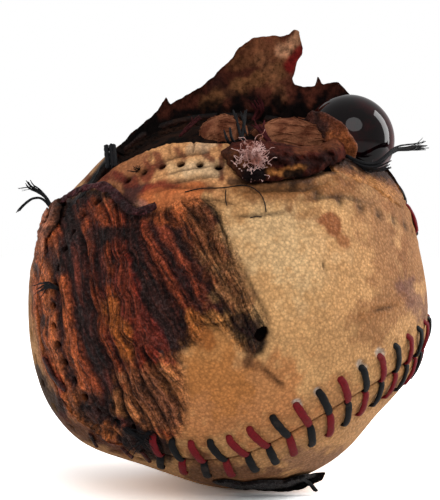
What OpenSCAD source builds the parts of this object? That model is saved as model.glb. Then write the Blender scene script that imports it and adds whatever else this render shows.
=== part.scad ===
// A worn-out baseball whose leather cover is torn open at the top. A cork centre lies inside two pairs
// of rubber shells, four yarn windings and two sewn leather panels. A glass dome bulges out of the
// tear under a wrinkled scrap of leather. The origin is the middle of the small flat that the ball
// rests on, +Z is up and -Y is the side where the open seam and the tear show.

/* [Core] */
// Diameter of the cork centre
cork_d = 20.6; // [19:0.1:22]
// Thickness of the black rubber halves
black_rubber_t = 4.8; // [4:0.1:6]
// Thickness of the red rubber halves
red_rubber_t = 2.4; // [2:0.1:3]
// Thickness of the washer between two rubber halves
washer_t = 1.6; // [1:0.1:3]

/* [Windings] */
// Thickness of the four-ply wool
first_yarn_t = 13.9; // [12:0.1:15]
// Thickness of the three-ply white wool
second_yarn_t = 1.7; // [1:0.1:3]
// Thickness of the three-ply grey wool
third_yarn_t = 2.3; // [1.5:0.1:4]
// Thickness of the fine finishing thread
finish_yarn_t = 0.4; // [0.3:0.1:0.8]

/* [Cover] */
// Thickness of the leather
leather_t = 1.3; // [1.2:0.1:1.6]
// Slit between the two panels along the seam
seam_gap = 0.4; // [0.2:0.1:0.6]
// Radius of the raised edge of a panel along the seam
edge_r = 1.5; // [1.4:0.1:1.8]
// Height of the raised edge over the leather
edge_rise = 0.3; // [0.2:0.05:0.5]
// Lean of a panel's round ends away from its waist, in degrees
lobe_tilt = 21.6; // [20:0.2:23]
// Depth of the flat that the ball rests on
rest_depth = 0.5; // [0.4:0.1:0.7]

/* [Stitching] */
// Pairs of stitches round the whole seam
stitches = 108; // [100:4:112]
// Distance from the seam to a stitch hole
hole_offset = 6; // [5.5:0.25:6.5]
// Distance that the holes lag behind the point of a stitch
stitch_lag = 2; // [1.5:0.25:2.5]
// Thickness of the waxed thread
thread_d = 0.9; // [0.7:0.05:1]
// Bend radius of a stitch
stitch_bow_r = 8; // [7:0.5:9]
// Gap between the two threads of a pair
thread_gap = 0.15; // [0.1:0.05:0.25]
// Width of an empty stitch hole over its corners
hole_w = 1.6; // [1.5:0.1:2]

/* [Tear] */
// Radius of the round tear in the top panel
tear_r = 32; // [31:0.5:33]
// Lean of the lifted flap away from the tear, in degrees
flap_lean = 8; // [4:1:12]
// Radius of the leather rolled back along the front of the tear
roll_r = 4.2; // [3.6:0.1:4.8]
// Radius of the crumpled corner at the left
crumple_r = 4; // [3.5:0.1:4.5]
// Width of the twisted strip beside the crumpled corner
strip_w = 2.8; // [2.4:0.1:3.4]
// Thickness of the scrap stuck under the ball
scrap_t = 0.8; // [0.6:0.1:1]

/* [Glass dome] */
// Radius of the glass dome
dome_r = 8.6; // [8:0.1:9]
// Thickness of the dark backing under the glass
backing_t = 0.8; // [0.6:0.1:1.2]
// Gap between the glass and the leather round it
dome_gap = 0.2; // [0.1:0.05:0.4]

/* [Loose threads] */
// Thickness of a cut end of waxed thread
end_d = 0.8; // [0.6:0.05:1]
// Thickness of the yarn that hangs out of the tear
yarn_d = 1.2; // [1:0.1:1.5]
// Thickness of the fine thread that lies over the front
hair_d = 0.5; // [0.4:0.05:0.7]
// Width of the square stub at the upper left
stub_w = 1.5; // [1.2:0.1:1.8]
// Length of the square stub at the upper left
stub_length = 4.5; // [4:0.1:5]

/* [Hidden] */

// Radii of the layers, from the inside out
cork_r = cork_d / 2;
black_rubber_r = cork_r + black_rubber_t;
red_rubber_r = black_rubber_r + red_rubber_t;
first_yarn_r = red_rubber_r + first_yarn_t;
second_yarn_r = first_yarn_r + second_yarn_t;
third_yarn_r = second_yarn_r + third_yarn_t;
wound_r = third_yarn_r + finish_yarn_t;
ball_r = wound_r + leather_t;
ball_centre_z = ball_r - rest_depth;
whole = 2 * ball_r;

// The seam is four arcs of small circles, one round each end of each panel. Neighbouring circles
// touch, so the lean of the ends fixes how wide and how long the arcs are.
lobe_spread = acos(-pow(sin(lobe_tilt), 2)) / 2;
arc_half = 90 + atan(sin(lobe_tilt));
arc_stitches = stitches / 4;
slit_angle = angle_of(seam_gap / 2);
edge_angle = angle_of(edge_r - seam_gap / 2);

// Where the circles touch, a panel's two kinds of edge end a little apart at the middle plane
edge_step_share = 0.08;
plane_overrun = 0.05;

// Distance from a stitch's point to its hole
stitch_reach = norm([hole_offset, stitch_lag]);

// Arcs of the seam, in the order that the stitching runs, as [panel, far end, direction]
seam_arcs = [[0, false, 1], [1, false, -1], [0, true, 1], [1, true, -1]];
// First and last stitch that is torn out on each arc
torn_stitches = [[0, 21], [], [], [17, 26]];

// Turn of the whole seam about the ball's centre
seam_turn = [-83.8, -2.9, -83.2];

// Places on the ball are shares of its radius, to the right and up as seen from the front
dome_share = [0.615, -0.2, 0.8];
lid_axis_share = [-0.62, -0.78, -0.1];
lid_half = 57;
tear_share = [0.108, -0.81];
tear_floor_share = 0.32;
roll_axis_share = [0.28, -0.71, 0.645];
roll_at = 90;
roll_sink_share = 0.4;
roll_bend_share = 2.5;
roll_half_span = 50;
flap_root_share = 0.9;
flap_edge_shares = [
    [-0.64, 0.5], [-0.6, 0.76], [-0.48, 0.875], [-0.4, 0.94], [-0.29, 1.01], [-0.14, 1.1],
    [-0.06, 1.165], [0.005, 1.23], [0.07, 1.31], [0.13, 1.355], [0.28, 1.365], [0.35, 1.405],
    [0.39, 1.355], [0.4, 1.305], [0.365, 1.23], [0.34, 1.145], [0.36, 1.115], [0.47, 1.105],
    [0.58, 1.125], [0.645, 1.06], [0.7, 0.9], [0.7, 0.5],
];
crumple_share = [-0.895, 0.388];
strip_shares = [
    [-0.855, 0.5], [-0.748, 0.54], [-0.618, 0.565], [-0.541, 0.526], [-0.487, 0.462],
    [-0.422, 0.405], [-0.33, 0.449],
];
scrap_turn = [149, 0, 22];
scrap_shares = [
    [-0.25, -0.02], [-0.17, -0.1], [-0.02, -0.07], [0.1, -0.11], [0.24, -0.05], [0.22, 0.06],
    [0.08, 0.1], [-0.05, 0.06], [-0.18, 0.09],
];
wool_shares = [[-0.07, 0.815], [0.285, 0.8]];
wool_r_shares = [0.15, 0.115];
wool_sink_share = 0.55;
stub_share = [-0.56, 0.655];
stub_turn = [20, -8, 10];

// Routes of the threads, as shares to the right, away from the front and up
yarn_shares = [
    [[0.09, -0.56, 0.8], [0.11, -0.42, 0.89], [0.1, -0.25, 0.96], [0.12, -0.08, 1.01]],
    [[0.125, -0.55, 0.8], [0.145, -0.4, 0.9], [0.135, -0.24, 0.96], [0.155, -0.09, 1]],
    [[0.16, -0.54, 0.8], [0.18, -0.4, 0.89], [0.17, -0.24, 0.95], [0.19, -0.1, 0.995]],
];
mouth_shares = [
    [[-0.05, -0.47, 0.905], [-0.06, -0.44, 0.95], [-0.09, -0.38, 1]],
    [[-0.01, -0.465, 0.905], [-0.01, -0.43, 0.97], [0.01, -0.36, 1.04]],
    [[0.035, -0.45, 0.89], [0.05, -0.42, 0.95], [0.04, -0.35, 1]],
];
left_tuft_shares = [
    [[-0.935, -0.208, 0.496], [-0.97, -0.16, 0.53], [-1.02, -0.12, 0.56], [-1.06, -0.1, 0.58]],
    [[-0.895, -0.197, 0.502], [-0.92, -0.15, 0.55], [-0.97, -0.12, 0.6], [-1, -0.11, 0.62]],
    [[-0.987, -0.208, 0.458], [-1.03, -0.17, 0.465], [-1.08, -0.13, 0.46]],
];
dome_tuft_shares = [
    [[0.6, -0.5, 0.675], [0.7, -0.4, 0.65], [0.83, -0.32, 0.73], [0.93, -0.26, 0.735],
        [0.99, -0.22, 0.75]],
];
// Empty holes from which a short end of thread stands
hole_end_shares = [
    [[-0.418, -0.681, 0.621], [-0.42, -0.73, 0.66], [-0.45, -0.76, 0.68]],
    [[-0.81, -0.6, 0.068], [-0.86, -0.63, 0.09], [-0.9, -0.63, 0.06]],
    [[-0.524, -0.658, -0.561], [-0.54, -0.7, -0.58], [-0.52, -0.74, -0.58]],
];
lower_stub_shares = [[0.4, -0.44, -0.815], [0.42, -0.42, -0.87], [0.44, -0.36, -0.92]];
loose_shares = [
    [-0.194, 0.508], [-0.127, 0.526], [-0.014, 0.525], [0.076, 0.544], [0.152, 0.493], [0.168, 0.416],
];

// Steps that a thread's route takes between two of its points, and sides round it
route_steps = 4;
thread_sides = 6;
strip_turns = 1.5;

function angle_of(length) = length / ball_r * 180 / PI;
function unit(v) = v / norm(v);

// The point at a distance from the ball's centre that has these shares to the right and up
function on_front(share, distance) =
    let (x = share[0] * ball_r, z = share[1] * ball_r)
    [x, -sqrt(distance * distance - x * x - z * z), z];

// Angle of a stitch along its arc
function stitch_angle(arc, i) = arc[2] * ((2 * i + 1) / arc_stitches - 1) * arc_half;

function is_torn(k, i) =
    len(torn_stitches[k]) > 0 && i >= torn_stitches[k][0] && i <= torn_stitches[k][1];

// A point of the smooth curve through four points, between the second and the third
function curve_point(a, b, c, d, t) =
    (2 * b + (c - a) * t + (2 * a - 5 * b + 4 * c - d) * t * t + (3 * b - a - 3 * c + d) * t * t * t) / 2;

function smooth_route(p) = [
    for (i = [0 : len(p) - 2])
        for (s = [0 : route_steps - 1])
            curve_point(p[max(i - 1, 0)], p[i], p[i + 1], p[min(i + 2, len(p) - 1)], s / route_steps),
    p[len(p) - 1],
];

module at_ball() {
    translate([0, 0, ball_centre_z])
        children();
}

module at_seam() {
    at_ball()
        rotate(seam_turn)
            children();
}

// Turns +Z to one end of the first panel and +X towards the middle of that end's arc
module at_end(far_end = false) {
    rotate([0, 0, far_end ? 180 : 0])
        rotate([0, 90 + lobe_tilt, 0])
            children();
}

// The two panels are alike, the second turned over and by a quarter
module at_panel(panel) {
    rotate(panel == 0 ? [0, 0, 0] : [180, 0, 90])
        children();
}

module at_arc(arc) {
    at_seam()
        at_panel(arc[0])
            at_end(arc[1])
                children();
}

// Turns +Z along a direction
module aim(v) {
    rotate([0, acos(v[2] / norm(v)), atan2(v[1], v[0])])
        children();
}

module ball(r) {
    sphere(r = r, $fn = 96);
}

module layer(outer_r, inner_r) {
    at_ball()
        difference() {
            ball(outer_r);
            ball(inner_r);
        }
}

// Half of a layer, on the +Z side of a split with the washer's thickness
module half_layer(outer_r, inner_r) {
    difference() {
        ball(outer_r);
        ball(inner_r);
        translate([-ball_r, -ball_r, washer_t / 2 - whole])
            cube(whole);
    }
}

module washer(outer_r, inner_r) {
    intersection() {
        difference() {
            ball(outer_r);
            ball(inner_r);
        }
        translate([-ball_r, -ball_r, -washer_t / 2])
            cube([whole, whole, washer_t]);
    }
}

// Half plane right of the axis, between two angles from the axis
module sector(from, to) {
    polygon([
        [0, 0],
        whole * [sin(from), cos(from)],
        2 * whole * [sin((from + to) / 2), cos((from + to) / 2)],
        whole * [sin(to), cos(to)],
    ]);
}

// Everything inside the circles of the seam round the first panel's ends, as seen from the ball's centre
module end_cones(spread) {
    for (far_end = [false, true])
        at_end(far_end)
            cylinder(h = 2 * whole, r1 = 0, r2 = 2 * whole * tan(spread), $fn = 96);
}

// Raised edges along the same circles, whose middle lies at an angle from the ends' axes
module end_rings(spread) {
    for (far_end = [false, true])
        at_end(far_end)
            rotate_extrude($fn = 96)
                rotate(-spread)
                    translate([0, ball_r + edge_rise - edge_r])
                        circle(r = edge_r, $fn = 32);
}

module half_space() {
    translate([-whole, -whole, 0])
        cube(2 * whole);
}

// A whole panel. On one side of the seam's middle plane the leather loses the other panel's round ends,
// and on the other side it keeps only its own. The first cut reaches a little over the plane.
module whole_panel(panel) {
    step_angle = angle_of(edge_step_share * leather_t);
    at_seam()
        at_panel(panel)
            difference() {
                difference() {
                    difference() {
                        union() {
                            ball(ball_r);
                            difference() {
                                end_rings(lobe_spread - edge_angle);
                                half_space();
                            }
                        }
                        ball(wound_r);
                    }
                    intersection() {
                        at_panel(1)
                            end_cones(lobe_spread + slit_angle + step_angle);
                        translate([0, 0, -plane_overrun])
                            half_space();
                    }
                }
                difference() {
                    rotate([180, 0, 0])
                        half_space();
                    end_cones(lobe_spread - slit_angle);
                }
            }
}

// Turns +Z to the point of a stitch on the seam and +X from there towards the stitch's hole. The two
// threads of a pair lie side by side, one on each side of the seam.
module at_stitch(arc, i, inner) {
    side = inner ? -1 : 1;
    shift = side * (thread_d + thread_gap) / 2 / sin(lobe_spread);
    at_arc(arc)
        rotate([0, 0, stitch_angle(arc, i) + angle_of(shift)])
            rotate([0, lobe_spread, 0])
                rotate([0, 0, atan2(-arc[2] * stitch_lag, side * hole_offset)])
                    children();
}

// A round bar bent to a bow in the XZ plane, with its middle at a height on +Z
module bow(d, bend_r, height, half_span) {
    translate([0, 0, height - bend_r])
        rotate([-90, -90, 0])
            rotate([0, 0, -half_span])
                rotate_extrude(angle = 2 * half_span, $fn = 96)
                    translate([bend_r, 0])
                        circle(d = d, $fn = 24);
}

// The empty holes that the awl cut in one panel, where the stitches are torn out
module awl_holes(panel) {
    for (arc = [0 : 3])
        for (i = [0 : arc_stitches - 1])
            if (is_torn(arc, i))
                at_stitch(seam_arcs[arc], i, seam_arcs[arc][0] == panel)
                    rotate([0, angle_of(stitch_reach), 0])
                        translate([0, 0, wound_r - leather_t])
                            cylinder(h = 3 * leather_t, d = hole_w, $fn = 4);
}

// A thread that lies on the leather at the slit and at its hole, and bows over the raised edge between
module stitch() {
    half_span = asin(stitch_reach / 2 / stitch_bow_r);
    chord_height = sqrt(pow(ball_r + thread_d / 2, 2) - pow(stitch_reach / 2, 2));
    rotate([0, angle_of(stitch_reach) / 2, 0])
        bow(thread_d, stitch_bow_r, chord_height + stitch_bow_r * (1 - cos(half_span)), half_span);
}

// All stitches of one colour. The threads of a pair change sides from each pair to the next.
module stitches_of(first) {
    for (k = [0 : 3])
        for (i = [0 : arc_stitches - 1])
            if (!is_torn(k, i))
                at_stitch(seam_arcs[k], i, (i + k + first) % 2 == 0)
                    stitch();
}

// Upright column over the round tear, from the given height over the ball's centre
module tear_column() {
    translate([tear_share[0] * ball_r, tear_share[1] * ball_r, tear_floor_share * ball_r])
        cylinder(h = whole, r = tear_r, $fn = 96);
}

module at_dome() {
    translate(dome_share * ball_r)
        children();
}

module below_rest() {
    translate([-whole, -whole, -2 * whole])
        cube(2 * whole);
}

// What the tear, the dome and the flat take away from the rear panel
module rear_cuts() {
    at_ball() {
        tear_column();
        at_dome()
            sphere(r = dome_r + dome_gap, $fn = 64);
    }
    below_rest();
}

// A strand along a route, round or flat, that may turn about itself
module strand(route, wide, thick, turns = 0) {
    p = smooth_route(route);
    n = len(p);
    rings = [
        for (i = [0 : n - 1])
            let (along = unit(p[min(i + 1, n - 1)] - p[max(i - 1, 0)]))
            let (side = unit(cross(along, [0, 1, 0])))
            let (up = cross(side, along))
            let (twist = 360 * turns * i / (n - 1))
            for (k = [0 : thread_sides - 1])
                let (a = 360 * k / thread_sides)
                let (u = cos(a) * wide / 2)
                let (v = sin(a) * thick / 2)
                p[i] + side * (u * cos(twist) - v * sin(twist)) + up * (u * sin(twist) + v * cos(twist))
    ];
    last = (n - 1) * thread_sides;
    polyhedron(
        points = rings,
        faces = [
            [for (k = [0 : thread_sides - 1]) k],
            [for (k = [0 : thread_sides - 1]) last + thread_sides - 1 - k],
            for (i = [0 : n - 2])
                for (k = [0 : thread_sides - 1])
                    let (b = i * thread_sides)
                    let (m = (k + 1) % thread_sides)
                    for (face = [
                        [b + k, b + thread_sides + k, b + m],
                        [b + m, b + thread_sides + k, b + thread_sides + m],
                    ])
                        face,
        ]
    );
}

module strands(routes, d) {
    at_ball()
        for (route = routes)
            strand(ball_r * route, d, d);
}

module cork_centre() {
    color("peru")
        at_ball()
            sphere(r = cork_r, $fn = 64);
}

module black_rubber_half(turn) {
    color("#1c1a1a")
        at_ball()
            rotate([0, turn, 0])
                half_layer(black_rubber_r, cork_r);
}

module black_rubber_washer() {
    color("firebrick")
        at_ball()
            rotate([0, 90, 0])
                washer(black_rubber_r, cork_r);
}

module red_rubber_half(turn) {
    color("indianred")
        at_ball()
            rotate([turn, 0, 0])
                half_layer(red_rubber_r, black_rubber_r);
}

module red_rubber_washer() {
    color("#2a2424")
        at_ball()
            washer(red_rubber_r, black_rubber_r);
}

module first_winding() {
    color("lightslategray")
        layer(first_yarn_r, red_rubber_r);
}

module second_winding() {
    color("ivory")
        layer(second_yarn_r, first_yarn_r);
}

module third_winding() {
    color("darkgray")
        layer(third_yarn_r, second_yarn_r);
}

module finishing_winding() {
    color("#4a3226")
        layer(wound_r, third_yarn_r);
}

// Two tufts of wool that the tear pulled up from the windings
module pulled_wool() {
    color("#5b3f30")
        at_ball()
            difference() {
                for (i = [0, 1]) {
                    r = wool_r_shares[i] * ball_r;
                    translate(on_front(wool_shares[i], wound_r - wool_sink_share * r))
                        sphere(r = r, $fn = 48);
                }
                ball(wound_r);
            }
}

module front_panel() {
    color("burlywood")
        difference() {
            whole_panel(0);
            awl_holes(0);
        }
}

module rear_panel() {
    color("tan")
        difference() {
            whole_panel(1);
            awl_holes(1);
            rear_cuts();
        }
}

// Leather of the tear, still held at its back edge and standing up from there, flesh side to the front
module lifted_flap() {
    slope = tan(flap_lean);
    root_z = flap_root_share * ball_r;
    color("#6b3a2c")
        at_ball()
            difference() {
                intersection() {
                    translate([tear_share[0] * ball_r, tear_share[1] * ball_r])
                        rotate_extrude($fn = 96)
                            polygon([
                                [tear_r - root_z * slope, 0],
                                [tear_r + (whole - root_z) * slope, whole],
                                [tear_r + (whole - root_z) * slope + leather_t, whole],
                                [tear_r - root_z * slope + leather_t, 0],
                            ]);
                    rotate([90, 0, 0])
                        linear_extrude(height = whole, center = true)
                            polygon(flap_edge_shares * ball_r);
                }
                ball(ball_r);
                at_dome()
                    sphere(r = dome_r + dome_gap, $fn = 64);
            }
}

// The front edge of the tear, rolled back on itself along the seam. It swells in the middle and runs
// out into the leather at both ends.
module rolled_lip() {
    color("#9c6b45")
        difference() {
            at_ball()
                aim(roll_axis_share)
                    rotate([0, 0, roll_at])
                        bow(2 * roll_r, roll_bend_share * roll_r,
                            ball_r + roll_r * (1 - roll_sink_share), roll_half_span);
            at_ball() {
                ball(ball_r);
                at_dome()
                    sphere(r = dome_r + 2 * dome_gap + leather_t, $fn = 64);
            }
        }
}

module crumpled_corner() {
    color("#7a4326")
        at_ball()
            difference() {
                translate(on_front(crumple_share, ball_r))
                    difference() {
                        sphere(r = crumple_r, $fn = 48);
                        sphere(r = crumple_r - leather_t, $fn = 48);
                    }
                ball(ball_r);
            }
}

module twisted_strip() {
    color("#4a1f28")
        at_ball()
            strand([for (share = strip_shares) on_front(share, ball_r + strip_w / 2)], strip_w, leather_t,
                strip_turns);
}

// A ragged dark scrap stuck to the leather under the ball's front
module bottom_scrap() {
    color("#33221c")
        difference() {
            at_ball()
                difference() {
                    intersection() {
                        ball(ball_r + scrap_t);
                        rotate(scrap_turn)
                            linear_extrude(height = whole)
                                polygon(scrap_shares * ball_r);
                    }
                    ball(ball_r);
                }
            below_rest();
        }
}

module glass_dome() {
    color("#2b0a0e")
        at_ball()
            difference() {
                at_dome()
                    aim(dome_share)
                        sphere(r = dome_r, $fn = 64);
                ball(wound_r + backing_t);
            }
}

module dome_backing() {
    color("#120506")
        at_ball()
            intersection() {
                at_dome()
                    aim(dome_share)
                        sphere(r = dome_r, $fn = 64);
                difference() {
                    ball(wound_r + backing_t);
                    ball(wound_r);
                }
            }
}

// A shrunken scrap of leather that covers the dome like an eyelid
module dome_lid() {
    color("#8a4f28")
        at_ball()
            difference() {
                at_dome()
                    intersection() {
                        difference() {
                            sphere(r = dome_r + dome_gap + leather_t, $fn = 64);
                            sphere(r = dome_r + dome_gap, $fn = 64);
                        }
                        aim(lid_axis_share)
                            cylinder(h = whole, r1 = 0, r2 = whole * tan(lid_half), $fn = 96);
                    }
                ball(ball_r);
            }
}

module red_stitches() {
    color("#8e1b22")
        stitches_of(0);
}

module black_stitches() {
    color("#191616")
        stitches_of(1);
}

module torn_yarn() {
    color("#4d1522")
        strands(yarn_shares, yarn_d);
}

module mouth_tuft() {
    color("#151313")
        strands(mouth_shares, end_d);
}

module left_tuft() {
    color("#151313")
        strands(left_tuft_shares, end_d);
}

module dome_tuft() {
    color("#151313")
        strands(dome_tuft_shares, yarn_d);
}

module hole_tufts() {
    color("#151313")
        strands(hole_end_shares, end_d);
}

module upper_stub() {
    color("#121010")
        at_ball()
            translate(on_front(stub_share, ball_r + stub_w / 2))
                rotate(stub_turn)
                    translate([-stub_w / 2, -stub_w / 2])
                        cube([stub_w, stub_w, stub_length]);
}

module lower_stub() {
    color("#121010")
        strands([lower_stub_shares], end_d);
}

module loose_thread() {
    color("#1a1412")
        at_ball()
            strand([for (share = loose_shares) on_front(share, ball_r + hair_d / 2)], hair_d, hair_d);
}

cork_centre();
black_rubber_half(-90);  // black_rubber_half_left
black_rubber_half(90);  // black_rubber_half_right
black_rubber_washer();
red_rubber_half(180);  // red_rubber_half_lower
red_rubber_half(0);  // red_rubber_half_upper
red_rubber_washer();
first_winding();
second_winding();
third_winding();
finishing_winding();
pulled_wool();
front_panel();
rear_panel();
lifted_flap();
rolled_lip();
crumpled_corner();
twisted_strip();
bottom_scrap();
glass_dome();
dome_backing();
dome_lid();
red_stitches();
black_stitches();
torn_yarn();
mouth_tuft();
left_tuft();
dome_tuft();
hole_tufts();
upper_stub();
lower_stub();
loose_thread();
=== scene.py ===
"""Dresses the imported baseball: worn leather cover, waxed stitches, charred wrinkles, the torn
flap with its rolled lip, the glass dome under its lid, and the loose yarn and threads."""

import math

import bpy
import numpy as np
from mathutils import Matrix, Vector


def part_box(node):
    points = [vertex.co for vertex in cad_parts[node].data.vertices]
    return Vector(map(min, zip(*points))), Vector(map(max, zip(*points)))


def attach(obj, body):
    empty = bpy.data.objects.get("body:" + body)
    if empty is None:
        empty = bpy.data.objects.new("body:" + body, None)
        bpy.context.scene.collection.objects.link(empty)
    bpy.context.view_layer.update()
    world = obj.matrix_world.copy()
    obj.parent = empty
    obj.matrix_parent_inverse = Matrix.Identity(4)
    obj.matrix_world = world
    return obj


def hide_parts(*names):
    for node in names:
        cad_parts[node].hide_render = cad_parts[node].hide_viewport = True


bl_info = {
    "name": "Torn baseball dressing",
    "version": (1, 0, 0),
    "blender": (4, 5, 0),
    "location": "3D View > Sidebar > Baseball",
    "description": "Leather, stitches, yarn and torn pieces over the packed baseball",
    "category": "Object",
}

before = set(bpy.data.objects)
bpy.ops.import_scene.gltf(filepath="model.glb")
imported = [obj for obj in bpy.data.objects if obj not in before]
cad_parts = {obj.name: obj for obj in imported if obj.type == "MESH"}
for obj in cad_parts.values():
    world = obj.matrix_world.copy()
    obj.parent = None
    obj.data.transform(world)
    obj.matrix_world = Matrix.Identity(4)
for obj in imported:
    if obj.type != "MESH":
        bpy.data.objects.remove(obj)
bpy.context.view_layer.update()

MM = 0.001
BODY = "root"

# The ball, in millimetres about its own centre
CORE_LOW, CORE_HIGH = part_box("finishing_winding")
CENTRE = np.array((CORE_LOW + CORE_HIGH) / 2) / MM
WOUND_R = (CORE_HIGH.x - CORE_LOW.x) / 2 / MM
LEATHER_T = 1.3
BALL_R = WOUND_R + LEATHER_T
FLOOR_Z = -CENTRE[2]
FLOOR_GAP = 0.3

# The camera that has the photograph's view, and its frame in pixels
CAMERA_AT = np.array((-1.361, -222.0, 9.138))
FOCAL_PX = 1141.8
FRAME_PX = (440, 500)
SENSOR_MM = 36.0
PIXEL_MM = 0.1917

# The seam: two dumbbell panels whose round ends are circles about four axes
SEAM_TURN = (-83.8, -2.9, -83.2)
LOBE_TILT = math.radians(21.6)
LOBE_SPREAD = math.radians(48.894)
ARC_HALF = math.radians(110.21)
ARC_STITCHES = 27
# Each arc: is it round the rear panel's end, is it the far end, and which way its stitches run
SEAM_ARCS = ((False, False, 1), (True, False, -1), (False, True, 1), (True, True, -1))
TORN_STITCHES = (range(0, 22), (), (), range(17, 27))
HOLE_OFFSET = 6.0
STITCH_LAG = 2.0
STITCH_REACH = math.hypot(HOLE_OFFSET, STITCH_LAG)
SLIT_HALF = 0.2
HOLE_R = 0.6

# The tear: a column that cuts the rear panel open, with the flap standing on its wall
TEAR_AT = np.array((4.0, -30.0))
TEAR_R = 32.0
TEAR_FLOOR = 12.0
FLAP_FOOT = 33.4
FLAP_LEAN = math.tan(math.radians(8.0))

# The dome and the lid over it
DOME_AT = np.array((0.615, -0.2, 0.8)) * BALL_R
DOME_R = 8.6
DOME_GAP = 0.25
DOME_FLOOR = WOUND_R + 0.85
LID_AXIS = np.array((-0.66, -0.70, -0.26))
LID_HALF = math.radians(43.0)
LID_SIDES = 120
LID_RINGS = 44

# How far the battered outline stands out from a true circle: degrees round the picture and pixels
OUTLINE_SWELL = (
    (14, 4), (32, 8), (60, 0), (90, -6), (132, -7), (140, -8), (155, 0), (166, 5), (178, 4),
    (190, 8), (201, 11), (211, 15), (224, 12), (237, -3), (245, -8), (252, -9), (268, -4),
    (290, 0), (307, 0), (321, -6), (336, 4), (352, 8),
)
SWELL_STEPS = np.arange(0.0, 360.0, 0.5)
SWELL_BLUR = 5.0
# The swelling is widest a little in front of the ball's middle, and fades forwards and backwards
SWELL_AHEAD = 0.17
SWELL_FADES = (0.5, 0.8)

# Numbers

TINY = 1e-12
# Odd steps that scatter the corners of the noise grid
SCATTER = np.array((374761393, 668265263, 1274126177))
SCATTER_SEED = 9176131
SCATTER_MIX = 1103515245
SCATTER_TOP = 0xFFFFFF
# The darkest that a painted surface gets, linear
DARKEST = 0.004


def turned(axis, angle):
    """A turn about x, y or z, given as 0, 1 or 2."""
    c, s = math.cos(angle), math.sin(angle)
    a, b = (axis + 1) % 3, (axis + 2) % 3
    turn = np.eye(3)
    turn[a, a] = turn[b, b] = c
    turn[a, b], turn[b, a] = -s, s
    return turn


def unit(vectors):
    vectors = np.asarray(vectors, float)
    return vectors / np.maximum(np.linalg.norm(vectors, axis=-1, keepdims=True), TINY)


def lengths(vectors):
    return np.linalg.norm(vectors, axis=-1)


def ease(low, high, values):
    """0 below low, 1 above high, and a smooth rise between."""
    t = np.clip((values - low) / (high - low), 0, 1)
    return t * t * (3 - 2 * t)


def bell(values, width):
    """1 at zero, fading to nothing over about two widths on each side."""
    return np.exp(-(values / width) ** 2)


def noise(points, cell, seed):
    """Smooth random values from -1 to 1 that change over about one cell."""
    q = np.asarray(points, float) / cell
    base = np.floor(q).astype(np.int64)
    part = q - base
    part = part * part * (3 - 2 * part)
    total = np.zeros(len(q))
    for corner in range(8):
        step = np.array((corner & 1, corner >> 1 & 1, corner >> 2))
        n = (base + step) @ SCATTER + seed * SCATTER_SEED
        n = (n ^ (n >> 13)) * SCATTER_MIX
        n = (n ^ (n >> 16)) & SCATTER_TOP
        weight = np.prod(np.where(step, part, 1 - part), axis=1)
        total += weight * n / SCATTER_TOP
    return 2 * total - 1


def rough(points, cell, octaves, seed):
    """Noise with finer and weaker layers over it."""
    total = sum(noise(points, cell / 2 ** k, seed + k) / 2 ** k for k in range(octaves))
    return total / (2 - 2 / 2 ** octaves)


def linear(colour):
    """A colour as written, turned into light values."""
    c = np.asarray(colour, float)
    return np.where(c <= 0.04045, c / 12.92, ((c + 0.055) / 1.055) ** 2.4)


# Picture and ball

def rays(pixels):
    pixels = np.asarray(pixels, float).reshape(-1, 2)
    middle = np.array(FRAME_PX) / 2
    x, y = ((pixels - middle) / FOCAL_PX).T
    return np.stack((x, np.ones_like(x), -y), axis=1)


def pixel_of(points):
    away = points - CAMERA_AT
    return np.stack((FRAME_PX[0] / 2 + FOCAL_PX * away[:, 0] / away[:, 1],
                     FRAME_PX[1] / 2 - FOCAL_PX * away[:, 2] / away[:, 1]), axis=1)


def flat(pixels):
    """Pixels as points of a flat sheet, for noise that follows the picture."""
    return np.column_stack((pixels, np.zeros(len(pixels))))


def meet_sphere(pixels, radius):
    """Where sight lines meet a sphere about the ball's centre, or pass closest to it."""
    way = rays(pixels)
    a = (way * way).sum(1)
    b = way @ CAMERA_AT
    c = CAMERA_AT @ CAMERA_AT - np.asarray(radius, float) ** 2
    t = (-b - np.sqrt(np.maximum(b * b - a * c, 0))) / a
    return CAMERA_AT + way * t[:, None]


def swell_table():
    angles, values = np.array(OUTLINE_SWELL, float).T
    raw = np.interp(SWELL_STEPS, angles, values, period=360)
    spread = bell(np.minimum(SWELL_STEPS, 360 - SWELL_STEPS), SWELL_BLUR)
    smooth = np.fft.ifft(np.fft.fft(raw) * np.fft.fft(spread / spread.sum())).real
    return smooth * PIXEL_MM


SWELL = swell_table()


def swell(points):
    """How far the ball is pushed out of round at each point."""
    angle = np.degrees(np.arctan2(points[:, 2], points[:, 0])) % 360
    way = unit(points)
    facing = -way[:, 1] - SWELL_AHEAD
    side = np.sqrt(way[:, 0] ** 2 + way[:, 2] ** 2)
    fade = bell(facing, np.where(facing > 0, *SWELL_FADES))
    return np.interp(angle, SWELL_STEPS, SWELL, period=360) * fade * side


def above_floor(points, gap=0.0):
    points[:, 2] = np.maximum(points[:, 2], FLOOR_Z + gap)
    return points


def warp(points):
    """Moves points of the round ball to where the battered one has them, and onto the floor."""
    return above_floor(points * (1 + swell(points) / np.maximum(lengths(points), TINY))[:, None])


def on_ball(pixels):
    """Points of the round ball that the camera sees at these pixels once the ball is warped."""
    reach = BALL_R
    for _ in range(4):
        points = meet_sphere(pixels, reach)
        reach = BALL_R + swell(points)
    return unit(points) * BALL_R


def lifted(spots):
    """Places given as pixel and height over the leather."""
    spots = np.asarray(spots, float)
    points = meet_sphere(spots[:, :2], BALL_R + spots[:, 2])
    for _ in range(3):
        points = meet_sphere(spots[:, :2], BALL_R + spots[:, 2] + swell(points))
    return above_floor(points, FLOOR_GAP)


def at_depth(spots):
    """Places given as pixel and distance in front of the ball's middle."""
    spots = np.asarray(spots, float)
    return CAMERA_AT + rays(spots[:, :2]) * (-spots[:, 2] - CAMERA_AT[1])[:, None]


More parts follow.
